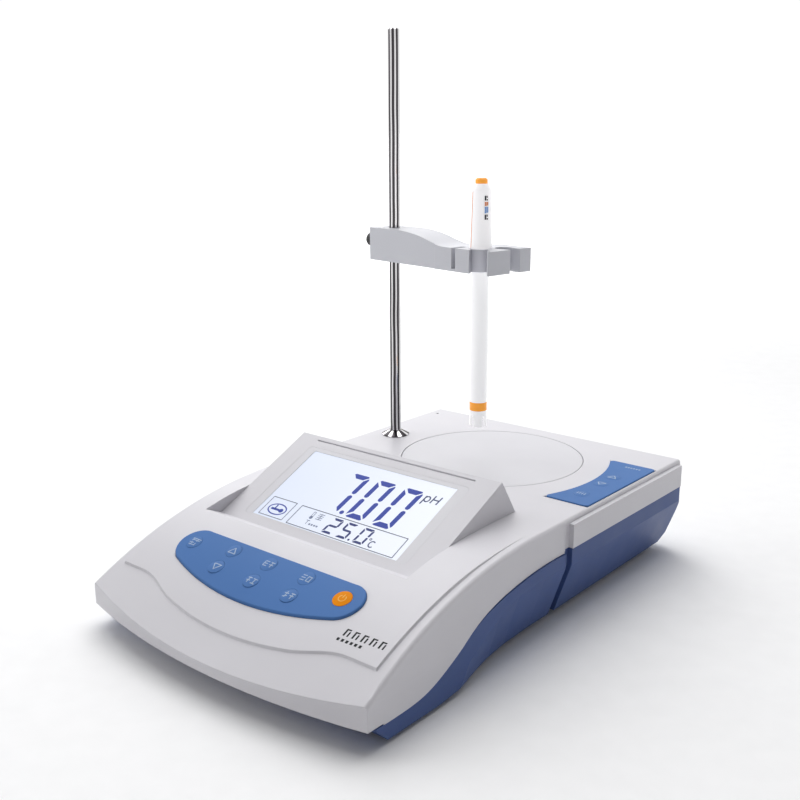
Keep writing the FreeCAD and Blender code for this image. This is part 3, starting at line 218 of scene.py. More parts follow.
def chrome_with_painted_reflections(name, dark, bright, rough, node):
    """Polished rod with painted reflections: dark and bright streaks painted along its length, set round the
    rod's own axis.
    """
    painted_streaks_round = 8.0
    mat, tree, shader = new_material(name)
    low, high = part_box(node)
    centred = tree.nodes.new("ShaderNodeVectorMath")
    centred.operation = "SUBTRACT"
    centred.inputs[1].default_value = ((low.x + high.x) / 2, (low.y + high.y) / 2, 0.0)
    tree.links.new(object_place(tree), centred.inputs[0])
    axes = separate(tree, centred.outputs["Vector"])
    angle = maths(tree, "ARCTAN2", axes["Y"], axes["X"])
    sway = spread(tree, noise(tree, 22.0, 1.0, (0, 0, 1)), 4.2, 5.5)
    # painted reflections: the colour swings between dark and bright streaks round the rod's axis, with a
    # slight sway along it
    painted_reflection_wave = maths(tree, "COSINE", maths(tree, "MULTIPLY_ADD", angle, painted_streaks_round, sway))
    tree.links.new(ramp(tree, painted_reflection_wave, dark, bright, 0.0, 0.75), shader.inputs["Base Color"])
    smudges = spread(tree, noise(tree, 120.0, 3.0), rough * METAL_POLISH, rough * METAL_HAZE)
    tree.links.new(smudges, shader.inputs["Roughness"])
    shader.inputs["Metallic"].default_value = 1.0
    return mat


def glowing(name, low, high, strength):
    """Lit panel: paler towards the right, with a faint unevenness from its light guide."""
    half_width = 62.0 * MM
    cloudiness = 0.25
    mat, tree, shader = new_material(name)
    across = map_range(tree, separate(tree, object_place(tree))["X"], -half_width, half_width)
    total = maths(tree, "MULTIPLY_ADD", noise(tree, 14.0, 2.0), cloudiness, across)
    dull_low = tuple(c * 0.5 for c in low)
    dull_high = tuple(c * 0.5 for c in high)
    tree.links.new(ramp(tree, total, dull_low, dull_high, 0.0, 1.2), shader.inputs["Base Color"])
    tree.links.new(ramp(tree, total, low, high, 0.0, 1.2), shader.inputs["Emission Color"])
    shader.inputs["Emission Strength"].default_value = strength
    shader.inputs["Roughness"].default_value = 0.3
    shader.inputs["Specular IOR Level"].default_value = 0.2
    return mat


def printed(name, color, rough=0.5):
    """Ink: slightly uneven colour."""
    mat, tree, shader = new_material(name)
    specks = noise(tree, 1500.0, 3.0)
    low = tuple(c * 0.9 for c in color)
    tree.links.new(ramp(tree, specks, low, color), shader.inputs["Base Color"])
    tree.links.new(spread(tree, specks, rough - ROUGH_DRIFT, rough + ROUGH_DRIFT), shader.inputs["Roughness"])
    shader.inputs["Specular IOR Level"].default_value = 0.15
    return mat


def clear_glass(name, color, rough, transmission, ior):
    """Clear glass with faint streaks along its length."""
    mat, tree, shader = new_material(name)
    streaks = noise(tree, 120.0, 3.0, (1, 1, 0.15))
    low = tuple(c * 0.96 for c in color)
    tree.links.new(ramp(tree, streaks, low, color), shader.inputs["Base Color"])
    tree.links.new(spread(tree, streaks, rough * 0.8, rough * 1.2), shader.inputs["Roughness"])
    shader.inputs["Transmission Weight"].default_value = transmission
    shader.inputs["IOR"].default_value = ior
    return mat


# ---- one material for each slot of the record ----
MATERIALS = {
    "cover_white": moulded_plastic("cover_plastic", (0.64, 0.63, 0.665), 0.42),
    "rear_panel": moulded_plastic("rear_panel_plastic", (0.60, 0.59, 0.62), 0.45),
    "base_blue": moulded_plastic("base_plastic", (0.062, 0.103, 0.262), 0.40, tint=0.05, gloss=0.2),
    "keypad_blue": key_plastic("keypad_plastic", (0.076, 0.180, 0.43), 0.45, 0.1, 0.04, 0.06),
    "key_blue": key_plastic("key_plastic", (0.077, 0.181, 0.43), 0.45, 0.08, 0.04, 0.06),
    "key_orange": key_plastic("key_orange_plastic", (0.76, 0.24, 0.0), 0.42, 0.08, 0.05, 0.04),
    "stir_plate": moulded_plastic("stir_plate_plastic", (0.62, 0.615, 0.65), 0.36),
    "arm_grey": moulded_plastic("arm_plastic", (0.58, 0.585, 0.625), 0.40, rounding=0.6 * MM),
    "grommet": moulded_plastic("grommet_rubber", (0.72, 0.72, 0.77), 0.6),
    "knob_black": moulded_plastic("knob_plastic", (0.012, 0.012, 0.014), 0.35),
    "rubber_dark": moulded_plastic("foot_rubber", (0.02, 0.02, 0.022), 0.75, 1400, 0.3),
    # the electrode's white and orange plastics glow a little: painted light that keeps them pale and bright
    "electrode_white": moulded_plastic("electrode_white_plastic", (0.88, 0.87, 0.88), 0.35, glow=0.34),
    "electrode_orange": moulded_plastic("electrode_orange_plastic", (0.92, 0.36, 0.04), 0.35, glow=0.28),
    "socket_black": moulded_plastic("socket_plastic", (0.02, 0.02, 0.022), 0.45),
    "chip_black": moulded_plastic("chip_plastic", (0.015, 0.015, 0.016), 0.5),
    "pcb": moulded_plastic("solder_mask", (0.01, 0.13, 0.05), 0.3, 900, 0.2),
    # the rod's dark and bright streaks are painted reflections, part of its colour
    "rod_steel": chrome_with_painted_reflections("rod_chrome", (0.055, 0.05, 0.055), (0.78, 0.77, 0.78), 0.11, "stand_rod"),
    "zinc_steel": metal("zinc_plate", (0.62, 0.62, 0.64), 0.32),
    "socket_metal": metal("nickel", (0.74, 0.72, 0.68), 0.2),
    "brass": metal("turned_brass", (0.72, 0.52, 0.22), 0.28),
    "magnet": metal("magnet_nickel", (0.66, 0.66, 0.68), 0.2),
    "silver": metal("silver_wire", (0.72, 0.71, 0.68), 0.3),
    # the milky tube glows a little too: painted light that keeps it pale
    "electrode_tube": moulded_plastic("electrode_milky_tube", (0.88, 0.88, 0.885), 0.3, glow=0.33),
    "electrode_glass": clear_glass("electrode_clear_glass", (0.96, 0.97, 0.98), 0.05, 0.9, 1.47),
    "backlight": glowing("light_guide", (0.86, 0.92, 1.0), (0.92, 0.96, 1.0), 0.3),
    "lcd": glowing("lcd_face", (0.73, 0.79, 0.94), (0.88, 0.92, 1.0), 0.54),
    "display_lens": moulded_plastic("lens_print", (0.635, 0.63, 0.665), 0.33, relief=0.05,
                                    rounding=0.1 * MM),
}
INK_BLUE = printed("lcd_ink", (0.045, 0.075, 0.40))
INK_DEEP = printed("lcd_small_ink", (0.040, 0.055, 0.20))
INK_THIN = printed("lcd_thin_ink", (0.09, 0.11, 0.17))
INK_UNIT = printed("lcd_unit_ink", (0.06, 0.08, 0.19))
INK_GREY = printed("lcd_grey_ink", (0.20, 0.24, 0.36))
INK_WHITE = printed("key_ink", (0.34, 0.44, 0.60))
INK_FAINT = printed("stir_key_ink", (0.36, 0.46, 0.60))
INK_PALE = printed("power_ink", (0.90, 0.50, 0.10))
INK_BADGE = printed("badge_ink", (0.018, 0.018, 0.022), 0.4)
LABEL_ORANGE = printed("label_orange", (0.80, 0.33, 0.18))
LABEL_BLUE = printed("label_blue", (0.28, 0.45, 0.78))
LABEL_BLACK = printed("label_black", (0.05, 0.05, 0.06))


# ---- mesh helpers ----
def mesh_object(name, bm, material, smooth_angle=PIECE_EDGE):
    """Mesh object from bmesh, with outward normals and smooth shading between sharp edges."""
    bmesh.ops.recalc_face_normals(bm, faces=bm.faces)
    mesh = bpy.data.meshes.new(name)
    bm.to_mesh(mesh)
    bm.free()
    obj = bpy.data.objects.new(name, mesh)
    bpy.context.scene.collection.objects.link(obj)
    mesh.materials.append(material)
    shade_by_angle(mesh, smooth_angle)
    return obj


def shade_by_angle(mesh, degrees):
    """Smooth faces, with edges sharper than the angle kept sharp."""
    for face in mesh.polygons:
        face.use_smooth = True
    mesh.set_sharp_from_angle(angle=math.radians(degrees))


def soften(obj, width):
    """Small rounded edges."""
    mod = obj.modifiers.new("edges", "BEVEL")
    mod.width = width
    mod.segments = 2
    mod.limit_method = "ANGLE"
    mod.angle_limit = math.radians(PIECE_EDGE)
    mod.miter_outer = "MITER_ARC"


def place(obj, body):
    """The piece rides on a body."""
    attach(obj, body)


def add_band(bm, first, second):
    """Faces between two closed loops with the same number of points."""
    n = len(first)
    for i in range(n):
        j = (i + 1) % n
        bm.faces.new((first[i], first[j], second[j], second[i]))


def close_prism(bm, bottom, top):
    """Sides, bottom and top of a closed prism between two loops."""
    add_band(bm, bottom, top)
    bm.faces.new(list(reversed(bottom)))
    bm.faces.new(top)


def add_prism(bm, outline, low, high, matrix):
    """Closed prism from an outline in metres, between two heights of a local frame."""
    rings = [[bm.verts.new(matrix @ Vector((x, y, h))) for x, y in outline] for h in (low, high)]
    close_prism(bm, *rings)


def add_frame(bm, outer, inner, low, high, matrix):
    """Closed ring between two outlines with the same number of points."""
    loops = []
    for outline, h in ((outer, low), (outer, high), (inner, high), (inner, low)):
        loops.append([bm.verts.new(matrix @ Vector((x, y, h))) for x, y in outline])
    for first, second in zip(loops, loops[1:] + loops[:1]):
        add_band(bm, first, second)


def rounded_rect(w, d, r, cx=0.0, cy=0.0, steps=6):
    """Outline of a rectangle with round corners."""
    points = []
    for sx, sy, start in ((1, 1, 0), (-1, 1, 90), (-1, -1, 180), (1, -1, 270)):
        for k in range(steps + 1):
            a = math.radians(start + 90 * k / steps)
            points.append((cx + sx * (w / 2 - r) + r * math.cos(a), cy + sy * (d / 2 - r) + r * math.sin(a)))
    return points


def rectangle(x0, x1, y0, y1):
    """Outline of a plain rectangle."""
    return [(x0, y0), (x1, y0), (x1, y1), (x0, y1)]


def circle(r, cx, cy, steps):
    """Outline of a circle."""
    turns = [2 * math.pi * k / steps for k in range(steps)]
    return [(cx + r * math.cos(a), cy + r * math.sin(a)) for a in turns]


def stroke(a, b, width):
    """Outline of a straight bar between two points."""
    (x0, y0), (x1, y1) = a, b
    length = math.hypot(x1 - x0, y1 - y0)
    nx = -(y1 - y0) / length * width / 2
    ny = (x1 - x0) / length * width / 2
    return [(x0 + nx, y0 + ny), (x0 - nx, y0 - ny), (x1 - nx, y1 - ny), (x1 + nx, y1 + ny)]


# ---- marks on the screen, in millimetres from the middle of the sloping face ----
LCD_DEPTH = 0.3 * MM
LCD_BACK = -1.4 * MM
INK_LOW = -LCD_DEPTH
INK_HIGH = -LCD_DEPTH + 0.06 * MM
SEGMENTS = {"0": "abcdef", "2": "abged", "5": "afgcd", "7": "abc"}


def segment_outlines(w, h, t):
    """Outlines of the seven segments, t thick, of a w by h digit with its lower left corner at the origin."""
    m = h / 2
    u = t / 3.5
    i = w - t
    upper = [(2.2 * u, h), (w - 2.2 * u, h), (w - 1.3 * u, h - 0.9 * u), (i - 0.9 * u, h - 4.0 * u),
             (t + 1.0 * u, h - 4.0 * u), (1.1 * u, h - 0.7 * u)]
    right = [(w - 0.7 * u, h - 1.7 * u), (w, h - 3.0 * u), (w, m + 2.0 * u), (w - 0.9 * u, m + 0.8 * u),
             (i + 0.9 * u, m + 0.8 * u), (i, m + 1.9 * u), (i, h - 4.9 * u)]
    left = [(0.0, h - 2.0 * u), (0.0, m + 2.0 * u), (0.9 * u, m + 0.8 * u), (t - 0.9 * u, m + 0.8 * u),
            (t, m + 1.9 * u), (t, h - 5.4 * u)]
    middle = [(1.2 * u, m), (t, m + t / 2), (i, m + t / 2), (w - 1.2 * u, m), (i, m - t / 2), (t, m - t / 2)]
    lower = [(x, h - y) for x, y in upper]
    right_low = [(x, h - y) for x, y in right]
    left_low = [(x, h - y) for x, y in left]
    return {"a": upper, "b": right, "c": right_low, "d": lower, "e": left_low, "f": left, "g": middle}


def add_digit(bm, digit, x, y, size, lean):
    """One seven-segment digit, leaning to the right; its size is width, height and thickness."""
    for name, outline in segment_outlines(*size).items():
        if name in SEGMENTS[digit]:
            leaning = [((x + px + lean * py) * MM, (y + py) * MM) for px, py in outline]
            add_prism(bm, leaning, INK_LOW, INK_HIGH, FACET)


def add_dot(bm, x, y, radius, steps=20):
    """Round printed dot."""
    add_prism(bm, circle(radius * MM, x * MM, y * MM, steps), INK_LOW, INK_HIGH, FACET)


def add_bar(bm, a, b, width):
    """Thin printed line between two points."""
    add_prism(bm, [(x * MM, y * MM) for x, y in stroke(a, b, width)], INK_LOW, INK_HIGH, FACET)


def add_box(bm, x0, x1, y0, y1, width):
    """Thin printed box."""
    corners = rectangle(x0, x1, y0, y1)
    for a, b in zip(corners, corners[1:] + corners[:1]):
        add_bar(bm, a, b, width)


def add_arc(bm, cx, cy, rx, ry, start, end, width, steps=14):
    """Thin printed arc, as a chain of short closed pieces."""
    outer = []
    inner = []
    for k in range(steps + 1):
        a = math.radians(start + (end - start) * k / steps)
        outer.append(((cx + (rx + width / 2) * math.cos(a)) * MM, (cy + (ry + width / 2) * math.sin(a)) * MM))
        inner.append(((cx + (rx - width / 2) * math.cos(a)) * MM, (cy + (ry - width / 2) * math.sin(a)) * MM))
    for k in range(steps):
        add_prism(bm, [outer[k], outer[k + 1], inner[k + 1], inner[k]], INK_LOW, INK_HIGH, FACET)


# ---- the display's pieces ----
def make_lens():
    """Printed lens: a pale border round the window of the screen."""
    bm = bmesh.new()
    outer = rounded_rect(LENS_W, LENS_D, LENS_CORNER)
    inner = rounded_rect(SCREEN_W, SCREEN_D, SCREEN_CORNER, SCREEN_X, SCREEN_Y)
    add_frame(bm, outer, inner, -LENS_T, 0.0, FACET)
    lens = mesh_object("display_lens", bm, MATERIALS["display_lens"], DISPLAY_EDGE)
    soften(lens, LENS_EDGE)
    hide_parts("display_window")
    place(lens, "case")


def make_lcd():
    """Lit liquid-crystal cell, just under the window."""
    bm = bmesh.new()
    outline = rounded_rect(SCREEN_W, SCREEN_D, SCREEN_CORNER, SCREEN_X, SCREEN_Y)
    add_prism(bm, outline, LCD_BACK, -LCD_DEPTH, FACET)
    face = mesh_object("lcd_face", bm, MATERIALS["lcd"], DISPLAY_EDGE)
    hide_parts("lcd_panel")
    place(face, "case")


def make_reading():
    """Large reading with its decimal point."""
    bm = bmesh.new()
    for digit, x in (("7", -19.1), ("0", 2.8), ("0", 24.8)):
        add_digit(bm, digit, x, -13.7, (15.0, 35.5, 3.5), 0.06)
    add_dot(bm, -0.6, -11.6, 1.6)
    place(mesh_object("lcd_reading", bm, INK_BLUE), "case")


def make_temperature():
    """Small temperature reading in the lower row."""
    bm = bmesh.new()
    for digit, x in (("2", -2.6), ("5", 9.2), ("0", 22.9)):
        add_digit(bm, digit, x, -30.5, (8.3, 13.3, 1.55), 0.085)
    add_dot(bm, 20.1, -29.7, 0.8, 16)
    place(mesh_object("lcd_temperature", bm, INK_DEEP), "case")


def make_boxes():
    """Thin boxes round the corner sign and the lower row."""
    bm = bmesh.new()
    add_box(bm, -57.3, -36.2, -31.6, -15.4, 0.5)
    add_box(bm, -31.3, 56.3, -32.2, -15.7, 0.55)
    place(mesh_object("lcd_boxes", bm, INK_THIN), "case")


def make_units():
    """Unit signs behind the two readings."""
    bm = bmesh.new()
    # letters p and H
    add_bar(bm, (44.2, 12.2), (44.9, 19.8), 0.95)
    add_arc(bm, 46.6, 17.3, 1.9, 2.3, -165, 165, 0.9)
    add_bar(bm, (50.3, 14.7), (50.9, 21.5), 0.95)
    add_bar(bm, (54.9, 14.7), (55.5, 21.5), 0.95)
    add_bar(bm, (50.7, 18.1), (55.2, 18.1), 0.95)
    # degree sign and letter C
    add_arc(bm, 33.9, -24.4, 0.7, 0.7, 0, 360, 0.5)
    add_arc(bm, 37.1, -27.7, 2.0, 2.4, 45, 315, 0.8)
    place(mesh_object("lcd_units", bm, INK_UNIT), "case")


def make_corner_sign():
    """Plain sign in the corner box: a bar with a knob and a stem, in an oval."""
    middle_y = -24.9
    bm = bmesh.new()
    add_arc(bm, -46.4, -24.6, 7.4, 4.5, 0, 360, 0.9, 44)
    add_bar(bm, (-51.6, middle_y), (-43.6, middle_y), 1.7)
    add_dot(bm, -42.8, middle_y, 1.7)
    add_bar(bm, (-48.6, middle_y), (-48.6, -21.0), 1.0)
    place(mesh_object("lcd_corner_sign", bm, INK_BLUE), "case")


def make_small_marks():
    """Thermometer, a small block of lines, and a letter T with four ticks, before the temperature."""
    bm = bmesh.new()
    add_box(bm, -18.6, -17.0, -21.6, -17.6, 0.4)
    add_dot(bm, -17.8, -22.6, 1.3)
    for k in range(4):
        y = -18.0 - 1.5 * k
        add_bar(bm, (-14.0, y), (-9.2, y), 0.45)
    add_bar(bm, (-11.6, -17.6), (-11.6, -22.9), 0.45)
    add_bar(bm, (-19.0, -25.3), (-16.0, -25.3), 0.45)
    add_bar(bm, (-17.5, -25.3), (-17.5, -28.6), 0.45)
    for k in range(4):
        x = -15.2 + 2.1 * k
        add_bar(bm, (x, -27.9), (x + 1.3, -27.9), 1.3)
    place(mesh_object("lcd_marks", bm, INK_GREY), "case")


# ---- key signs ----
KEY_TILT = math.radians(20.5)
KEY_DOME = 0.4 * MM
RIM_SHARE = 0.98
SIGN_RISE = 0.03 * MM
SIGN_SINK = -0.1 * MM
SIGN_STEP = 0.5
SIGN_LINE = 0.65
THIN_LINE = 0.6


def key_top(node):
    """Local frame at the top of a key's dome, and the cap's radius."""
    tilt = KEY_TILT if node.startswith("key_") else 0.0
    turn = Matrix.Rotation(tilt, 4, "X")
    up = turn @ Vector((0, 0, 1))
    points = [v.co for v in frame["nodes"][node].data.vertices]
    height = max(p.dot(up) for p in points)
    low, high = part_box(node)
    centre_x = (low.x + high.x) / 2
    radius = (high.x - low.x) / 2
    rim = [p for p in points if abs(p.x - centre_x) > radius * RIM_SHARE]
    middle = sum(rim, Vector()) / len(rim)
    middle.x = centre_x
    turn.translation = middle + up * (height - middle.dot(up))
    return turn, radius


def level(y, x0, x1, width=SIGN_LINE):
    """Line across a key sign."""
    return (x0, y), (x1, y), width


def upright(x, y0, y1, width=SIGN_LINE):
    """Line up or down a key sign."""
    return (x, y0), (x, y1), width


def sign_lines():
    """Plain signs for the keys, as lines in millimetres from the key's middle: start, end and width."""
    up = [level(-2.0, -3.0, 3.0, 0.7), ((-2.9, -2.0), (0.1, 2.5), 0.7), ((2.9, -2.0), (-0.1, 2.5), 0.7)]
    down = [((ax, -ay), (bx, -by), width) for (ax, ay), (bx, by), width in up]
    store = [level(1.7, -3.6, -0.6), upright(-2.1, 2.2, -2.2), level(-0.4, -3.6, -0.6),
             level(1.7, 0.7, 3.7), level(-1.9, 0.7, 3.7), upright(2.2, 1.7, -1.9)]
    calibrate = [level(1.8, -3.6, -0.5), level(-1.8, -3.6, -0.5), upright(-3.5, 1.8, -1.8),
                 level(0.0, -3.5, -0.7), level(1.9, 0.8, 3.7), upright(2.2, 1.9, -2.1), level(-0.2, 0.8, 3.7)]
    degrees = [level(1.9, -3.7, -0.5), level(0.0, -3.7, -0.5), level(-1.9, -3.7, -0.5), level(1.7, 0.6, 3.7),
               level(-1.9, 0.6, 3.7), upright(1.0, 1.7, -1.9), upright(3.3, 1.7, -1.9)]
    enter = [level(0.9, -3.7, -0.6), upright(-2.1, 2.3, -2.2), ((-3.5, -2.0), (-0.6, -0.8), SIGN_LINE),
             level(1.8, 0.8, 3.7), level(0.0, 0.8, 3.7), upright(2.2, 2.2, -2.2)]
    mode = [level(2.8, -3.6, 3.6, THIN_LINE), level(1.5, -2.8, 3.4, THIN_LINE),
            upright(-2.6, 3.2, 0.6, THIN_LINE), upright(1.4, 3.2, 0.6, THIN_LINE),
            level(-0.8, -3.4, 0.4, THIN_LINE), level(-2.4, -2.8, 2.2, THIN_LINE),
            upright(-1.2, -0.2, -3.0, THIN_LINE), upright(1.9, -0.6, -2.6, THIN_LINE)]
    ticks = [upright(x, -1.5, 1.5, THIN_LINE) for x in (-2.6, -0.9, 0.9, 2.6)]
    return {"key_mode": mode, "key_up": up, "key_down": down, "key_calibrate": calibrate, "key_store": store,
            "key_temperature": degrees, "key_enter": enter, "stir_key_run": ticks, "stir_key_slower": down,
            "stir_key_faster": up}


def add_sign_line(bm, start, end, width, matrix, radius):
    """Closed ribbon that follows the dome of a key from one point to another."""
    a = Vector(start)
    b = Vector(end)
    along = (b - a).normalized()
    half = Vector((-along.y, along.x)) * width / 2
    steps = max(1, round((b - a).length / SIGN_STEP))
    rows = []
    for k in range(steps + 1):
        middle = a + (b - a) * k / steps
        row = []
        for side in (middle - half, middle + half):
            fall = KEY_DOME * (side.length * MM / radius) ** 2
            for rise in (SIGN_SINK, SIGN_RISE):
                row.append(bm.verts.new(matrix @ Vector((side.x * MM, side.y * MM, rise - fall))))
        rows.append(row)
    for first, second in zip(rows[:-1], rows[1:]):
        for i, j in ((0, 1), (1, 3), (3, 2), (2, 0)):
            bm.faces.new((first[i], first[j], second[j], second[i]))
    for row in (rows[0], rows[-1]):
        bm.faces.new((row[0], row[1], row[3], row[2]))


def make_sign(node, lines, ink):
    """Printed sign that follows the dome of its key and rides on it."""
    matrix, radius = key_top(node)
    bm = bmesh.new()
    for start, end, width in lines:
        add_sign_line(bm, start, end, width, matrix, radius)
    place(mesh_object(node + "_sign", bm, ink), node)


def power_lines():
    """Open ring with an upright stroke in its gap."""
    ring_radius = 2.3
    gap_half = 35
    turn_step = 24.2
    turns = [math.radians(gap_half + turn_step * k) for k in range(13)]
    ring = [(ring_radius * math.sin(a), ring_radius * math.cos(a)) for a in turns]
    lines = [(start, end, THIN_LINE) for start, end in zip(ring[:-1], ring[1:])]
    return lines + [upright(0, 0.3, 3.0, THIN_LINE)]


def make_key_signs():
    """Signs of all the keys."""
    for node, lines in sign_lines().items():
        ink = INK_FAINT if node.startswith("stir") else INK_WHITE
        make_sign(node, lines, ink)
    make_sign("key_power", power_lines(), INK_PALE)


def make_rear_end_marks():
    """Row of faint printed marks near the rear end of the stirrer keypad."""
    _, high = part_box("stir_keypad")
    mark_w = 1.3 * MM
    half_d = 0.9 * MM
    pitch = 2.0
    first_inset = 19.0
    rear_inset = 8.0 * MM
    top = Matrix.Translation((0, high.y - rear_inset, high.z))
    bm = bmesh.new()
    for k in range(6):
        x = high.x - (first_inset - pitch * k) * MM
        add_prism(bm, rectangle(x, x + mark_w, -half_d, half_d), 0.0, SIGN_RISE, top)
    place(mesh_object("stir_keypad_marks", bm, INK_FAINT), "case")


# ---- printed badge at the right of the front panel ----
BADGE_GAP_X = 3.0 * MM
BADGE_GAP_Y = 5.2 * MM
BADGE_PITCH = 5.9
BADGE_HIGH = 4.4
BADGE_TILT = 0.03
RAY_HEIGHT = 1.0
BADGE_SINK = 0.1 * MM
BADGE_RISE = 0.03 * MM


def badge_outlines():
    """Outlines in millimetres of five signs of three strokes each, over a row of six small marks."""
    outlines = []
    for k in range(5):
        x = BADGE_PITCH * k
        outlines.append(rectangle(x, x + 1.2, 0.0, BADGE_HIGH))
        outlines.append(rectangle(x + 1.2, x + 3.2, 3.6, BADGE_HIGH))
        outlines.append(rectangle(x + 2.6, x + 3.6, 0.0, 3.1))
    for k in range(6):
        x = 3.0 * k - 1.4
        outlines.append(rectangle(x, x + 1.7, -3.4, -1.7))
    return outlines


def make_badge():
    """Plain printed badge, laid on the cover's curved panel to the right of the keypad."""
    cover = frame["nodes"]["top_cover"]
    low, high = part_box("keypad")
    start_x = high.x + BADGE_GAP_X
    start_y = low.y + BADGE_GAP_Y
    bm = bmesh.new()
    for outline in badge_outlines():
        bottom = []
        top = []
        for px, py in outline:
            above = Vector((start_x + px * MM, start_y + (py + BADGE_TILT * px) * MM, RAY_HEIGHT))
            _, point, normal, _ = cover.ray_cast(above, Vector((0, 0, -1)))
            bottom.append(bm.verts.new(point - normal * BADGE_SINK))
            top.append(bm.verts.new(point + normal * BADGE_RISE))
        close_prism(bm, bottom, top)
    place(mesh_object("panel_badge", bm, INK_BADGE), "case")


# ---- printed marks on the electrode's handle ----
HANDLE_FOOT_R = 7.7
HANDLE_TAPER = 1.1
PATCH_STEP = 6
HANDLE_CROWN = 4.0 * MM
LABEL_SINK = 0.1 * MM
LABEL_RISE = 0.04 * MM


def handle_axis():
    """Centre of the electrode's handle, and the heights of its foot and of its shoulder."""
    low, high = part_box("electrode_handle")
    return (low.x + high.x) / 2, (low.y + high.y) / 2, low.z, high.z - HANDLE_CROWN


def add_patch(bm, turn_from, turn_to, z0, z1):
    """Thin curved patch on the handle's tapering side, between two turns about its axis in degrees."""
    x0, y0, foot, shoulder = handle_axis()
    steps = max(2, int(abs(turn_to - turn_from) / PATCH_STEP))
    rows = []
    for z in (z0, z1):
        share = (z - foot) / (shoulder - foot)
        r = (HANDLE_FOOT_R - HANDLE_TAPER * share) * MM
        for radius in (r - LABEL_SINK, r + LABEL_RISE):
            row = []
            for k in range(steps + 1):
                a = math.radians(turn_from + (turn_to - turn_from) * k / steps)
                row.append(bm.verts.new((x0 + radius * math.cos(a), y0 + radius * math.sin(a), z)))
            rows.append(row)
    inner_low, outer_low, inner_high, outer_high = rows
    sides = ((outer_low, outer_high), (inner_high, inner_low), (inner_low, outer_low),
             (outer_high, inner_high))
    for a, b in sides:
        for k in range(steps):
            bm.faces.new((a[k], a[k + 1], b[k + 1], b[k]))
    for k in (0, steps):
        bm.faces.new((inner_low[k], outer_low[k], outer_high[k], inner_high[k]))


def make_handle_stripe():
    """Thin orange stripe along the handle's side."""
    _, _, foot, shoulder = handle_axis()
    bm = bmesh.new()
    add_patch(bm, 246.0, 251.5, foot + 0.4 * MM, shoulder - 1.0 * MM)
    place(mesh_object("handle_stripe", bm, LABEL_ORANGE), "electrode")


def make_handle_label():
    """Small plain label of four blocks, one under another, each made of two or three patches."""
    shoulder = handle_axis()[3]
    # name, drop from the shoulder and height in millimetres, ink
    blocks = (("a", 3.6, 3.2, LABEL_BLACK), ("b", 7.6, 2.8, LABEL_ORANGE), ("c", 10.8, 4.4, LABEL_BLUE),
              ("d", 15.9, 3.4, LABEL_BLACK))
    for name, drop, height, ink in blocks:
        bm = bmesh.new()
        top = shoulder - drop * MM
        tall = height * MM
        add_patch(bm, 325.0, 336.0, top - tall, top)
        if ink is LABEL_BLACK:
            add_patch(bm, 338.0, 345.0, top - tall * 0.45, top)
            add_patch(bm, 338.0, 347.0, top - tall, top - tall * 0.7)
        else:
            add_patch(bm, 337.0, 349.0, top - tall * 0.9, top)
        place(mesh_object("handle_label_" + name, bm, ink), "electrode")


def finish_nodes():
    """Every carried node gets its procedural finish and smooth shading."""
    slots = {s["node"]: s["material_slot"] for s in record["subparts"]}
    for name, obj in frame["nodes"].items():
        obj.data.materials.clear()
        obj.data.materials.append(MATERIALS[slots[name]])
        shade_by_angle(obj.data, NODE_EDGE)


# ---- stage, in metres ----
FLOOR_HALF = 30.0
FLOOR_GLOW = 0.7
FLOOR_GLOW_START = 0.7
FLOOR_GLOW_END = 2.2
HORIZON_START = 0.04
HORIZON_END = 0.26
WHITE_SIDE = (-0.645, 0.764, 0.0)
WHITE_SIDE_START = -0.12
WHITE_SIDE_END = 0.28
WORLD_STRENGTH = 1.02
# name, position, target, size and power in watts
LIGHTS = (
    ("top_light", (-0.25, 0.25, 1.5), (0, 0, 0.05), 1.5, 12.5),
    ("rear_left_light", (-1.3, 1.0, 1.2), (0, 0, 0.05), 1.3, 9),
    ("front_left_light", (-1.3, -0.9, 0.9), (0, 0, 0.1), 1.2, 5.5),
)
CAMERA_PLACE = (0.416141, -0.499846, 0.298295)
CAMERA_YAW = 0.70087
CAMERA_PITCH = 0.25734
CAMERA_ROLL = -0.00442
CAMERA_LENS = 46.997


def make_floor():
    """Plain pale floor that stays bright in the distance, where the studio lights fade."""
    bm = bmesh.new()
    corners = rectangle(-FLOOR_HALF, FLOOR_HALF, -FLOOR_HALF, FLOOR_HALF)
    bm.faces.new([bm.verts.new((x, y, 0.0)) for x, y in corners])
    mat, tree, shader = new_material("floor_paint")
    paint = ramp(tree, noise(tree, 60.0, 3.0), (0.89, 0.89, 0.895), (0.91, 0.91, 0.915))
    tree.links.new(paint, shader.inputs["Base Color"])
    far = tree.nodes.new("ShaderNodeVectorMath")
    far.operation = "LENGTH"
    tree.links.new(object_place(tree), far.inputs[0])
    shader.inputs["Emission Color"].default_value = (1, 1, 1, 1)
    glow = smooth_share(tree, far.outputs["Value"], FLOOR_GLOW_START, FLOOR_GLOW_END, FLOOR_GLOW)
    tree.links.new(glow, shader.inputs["Emission Strength"])
    shader.inputs["Roughness"].default_value = 0.9
    shader.inputs["Specular IOR Level"].default_value = 0.1
    mesh_object("floor", bm, mat)


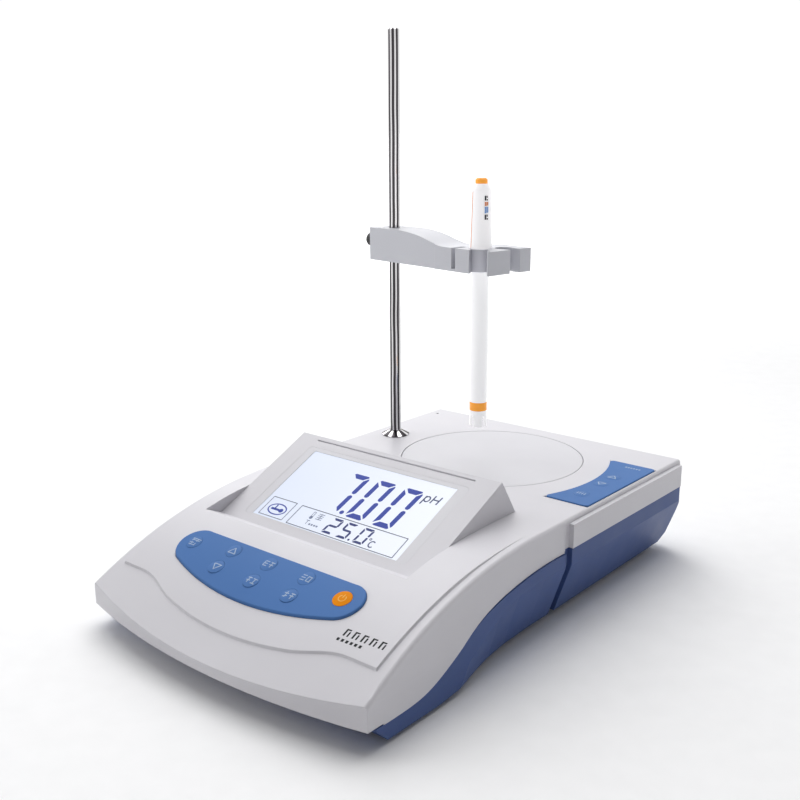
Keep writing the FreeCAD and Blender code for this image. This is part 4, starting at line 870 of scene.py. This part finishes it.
def make_world():
    """Soft surroundings: white at the horizon and on the left and rear side, dim high up on the others."""
    world = bpy.data.worlds.new("studio")
    bpy.context.scene.world = world
    world.use_nodes = True
    tree = world.node_tree
    direction = tree.nodes.new("ShaderNodeTexCoord").outputs["Generated"]
    side = tree.nodes.new("ShaderNodeVectorMath")
    side.operation = "DOT_PRODUCT"
    side.inputs[1].default_value = WHITE_SIDE
    tree.links.new(direction, side.inputs[0])
    height = smooth_share(tree, separate(tree, direction)["Z"], HORIZON_START, HORIZON_END)
    dim = ramp(tree, height, (1.0, 1.0, 1.0), (0.07, 0.07, 0.075), 0.0, 1.0)
    mix = tree.nodes.new("ShaderNodeMix")
    mix.data_type = "RGBA"
    first, second = [socket for socket in mix.inputs if socket.type == "RGBA"]
    mixed = next(socket for socket in mix.outputs if socket.type == "RGBA")
    second.default_value = (1, 1, 1, 1)
    whiteness = smooth_share(tree, side.outputs["Value"], WHITE_SIDE_START, WHITE_SIDE_END)
    tree.links.new(whiteness, mix.inputs["Factor"])
    tree.links.new(dim, first)
    tree.links.new(mixed, tree.nodes["Background"].inputs["Color"])
    tree.nodes["Background"].inputs["Strength"].default_value = WORLD_STRENGTH


def make_lights():
    """Large soft discs above and to the left."""
    for name, position, target, size, power in LIGHTS:
        data = bpy.data.lights.new(name, "AREA")
        data.shape = "DISK"
        data.size = size
        data.energy = power
        obj = bpy.data.objects.new(name, data)
        bpy.context.scene.collection.objects.link(obj)
        obj.location = position
        obj.rotation_euler = (Vector(target) - Vector(position)).to_track_quat("-Z", "Y").to_euler()


def make_camera():
    """Camera at the height, turn and lens of the reference view."""
    data = bpy.data.cameras.new("camera")
    data.sensor_width = 36.0
    data.lens = CAMERA_LENS
    data.clip_start = 0.05
    data.clip_end = 50.0
    cam = bpy.data.objects.new("camera", data)
    bpy.context.scene.collection.objects.link(cam)
    turn = Matrix.Rotation(CAMERA_YAW, 4, "Z") @ Matrix.Rotation(math.pi / 2 - CAMERA_PITCH, 4, "X")
    roll = Matrix.Rotation(CAMERA_ROLL, 4, "Z")
    cam.matrix_world = Matrix.Translation(CAMERA_PLACE) @ turn @ roll
    bpy.context.scene.camera = cam
    bpy.context.scene.view_settings.view_transform = "Standard"


make_camera()
make_world()
make_lights()
make_floor()
finish_nodes()
make_lens()
make_lcd()
make_reading()
make_temperature()
make_boxes()
make_units()
make_corner_sign()
make_small_marks()
make_key_signs()
make_rear_end_marks()
make_badge()
make_handle_stripe()
make_handle_label()
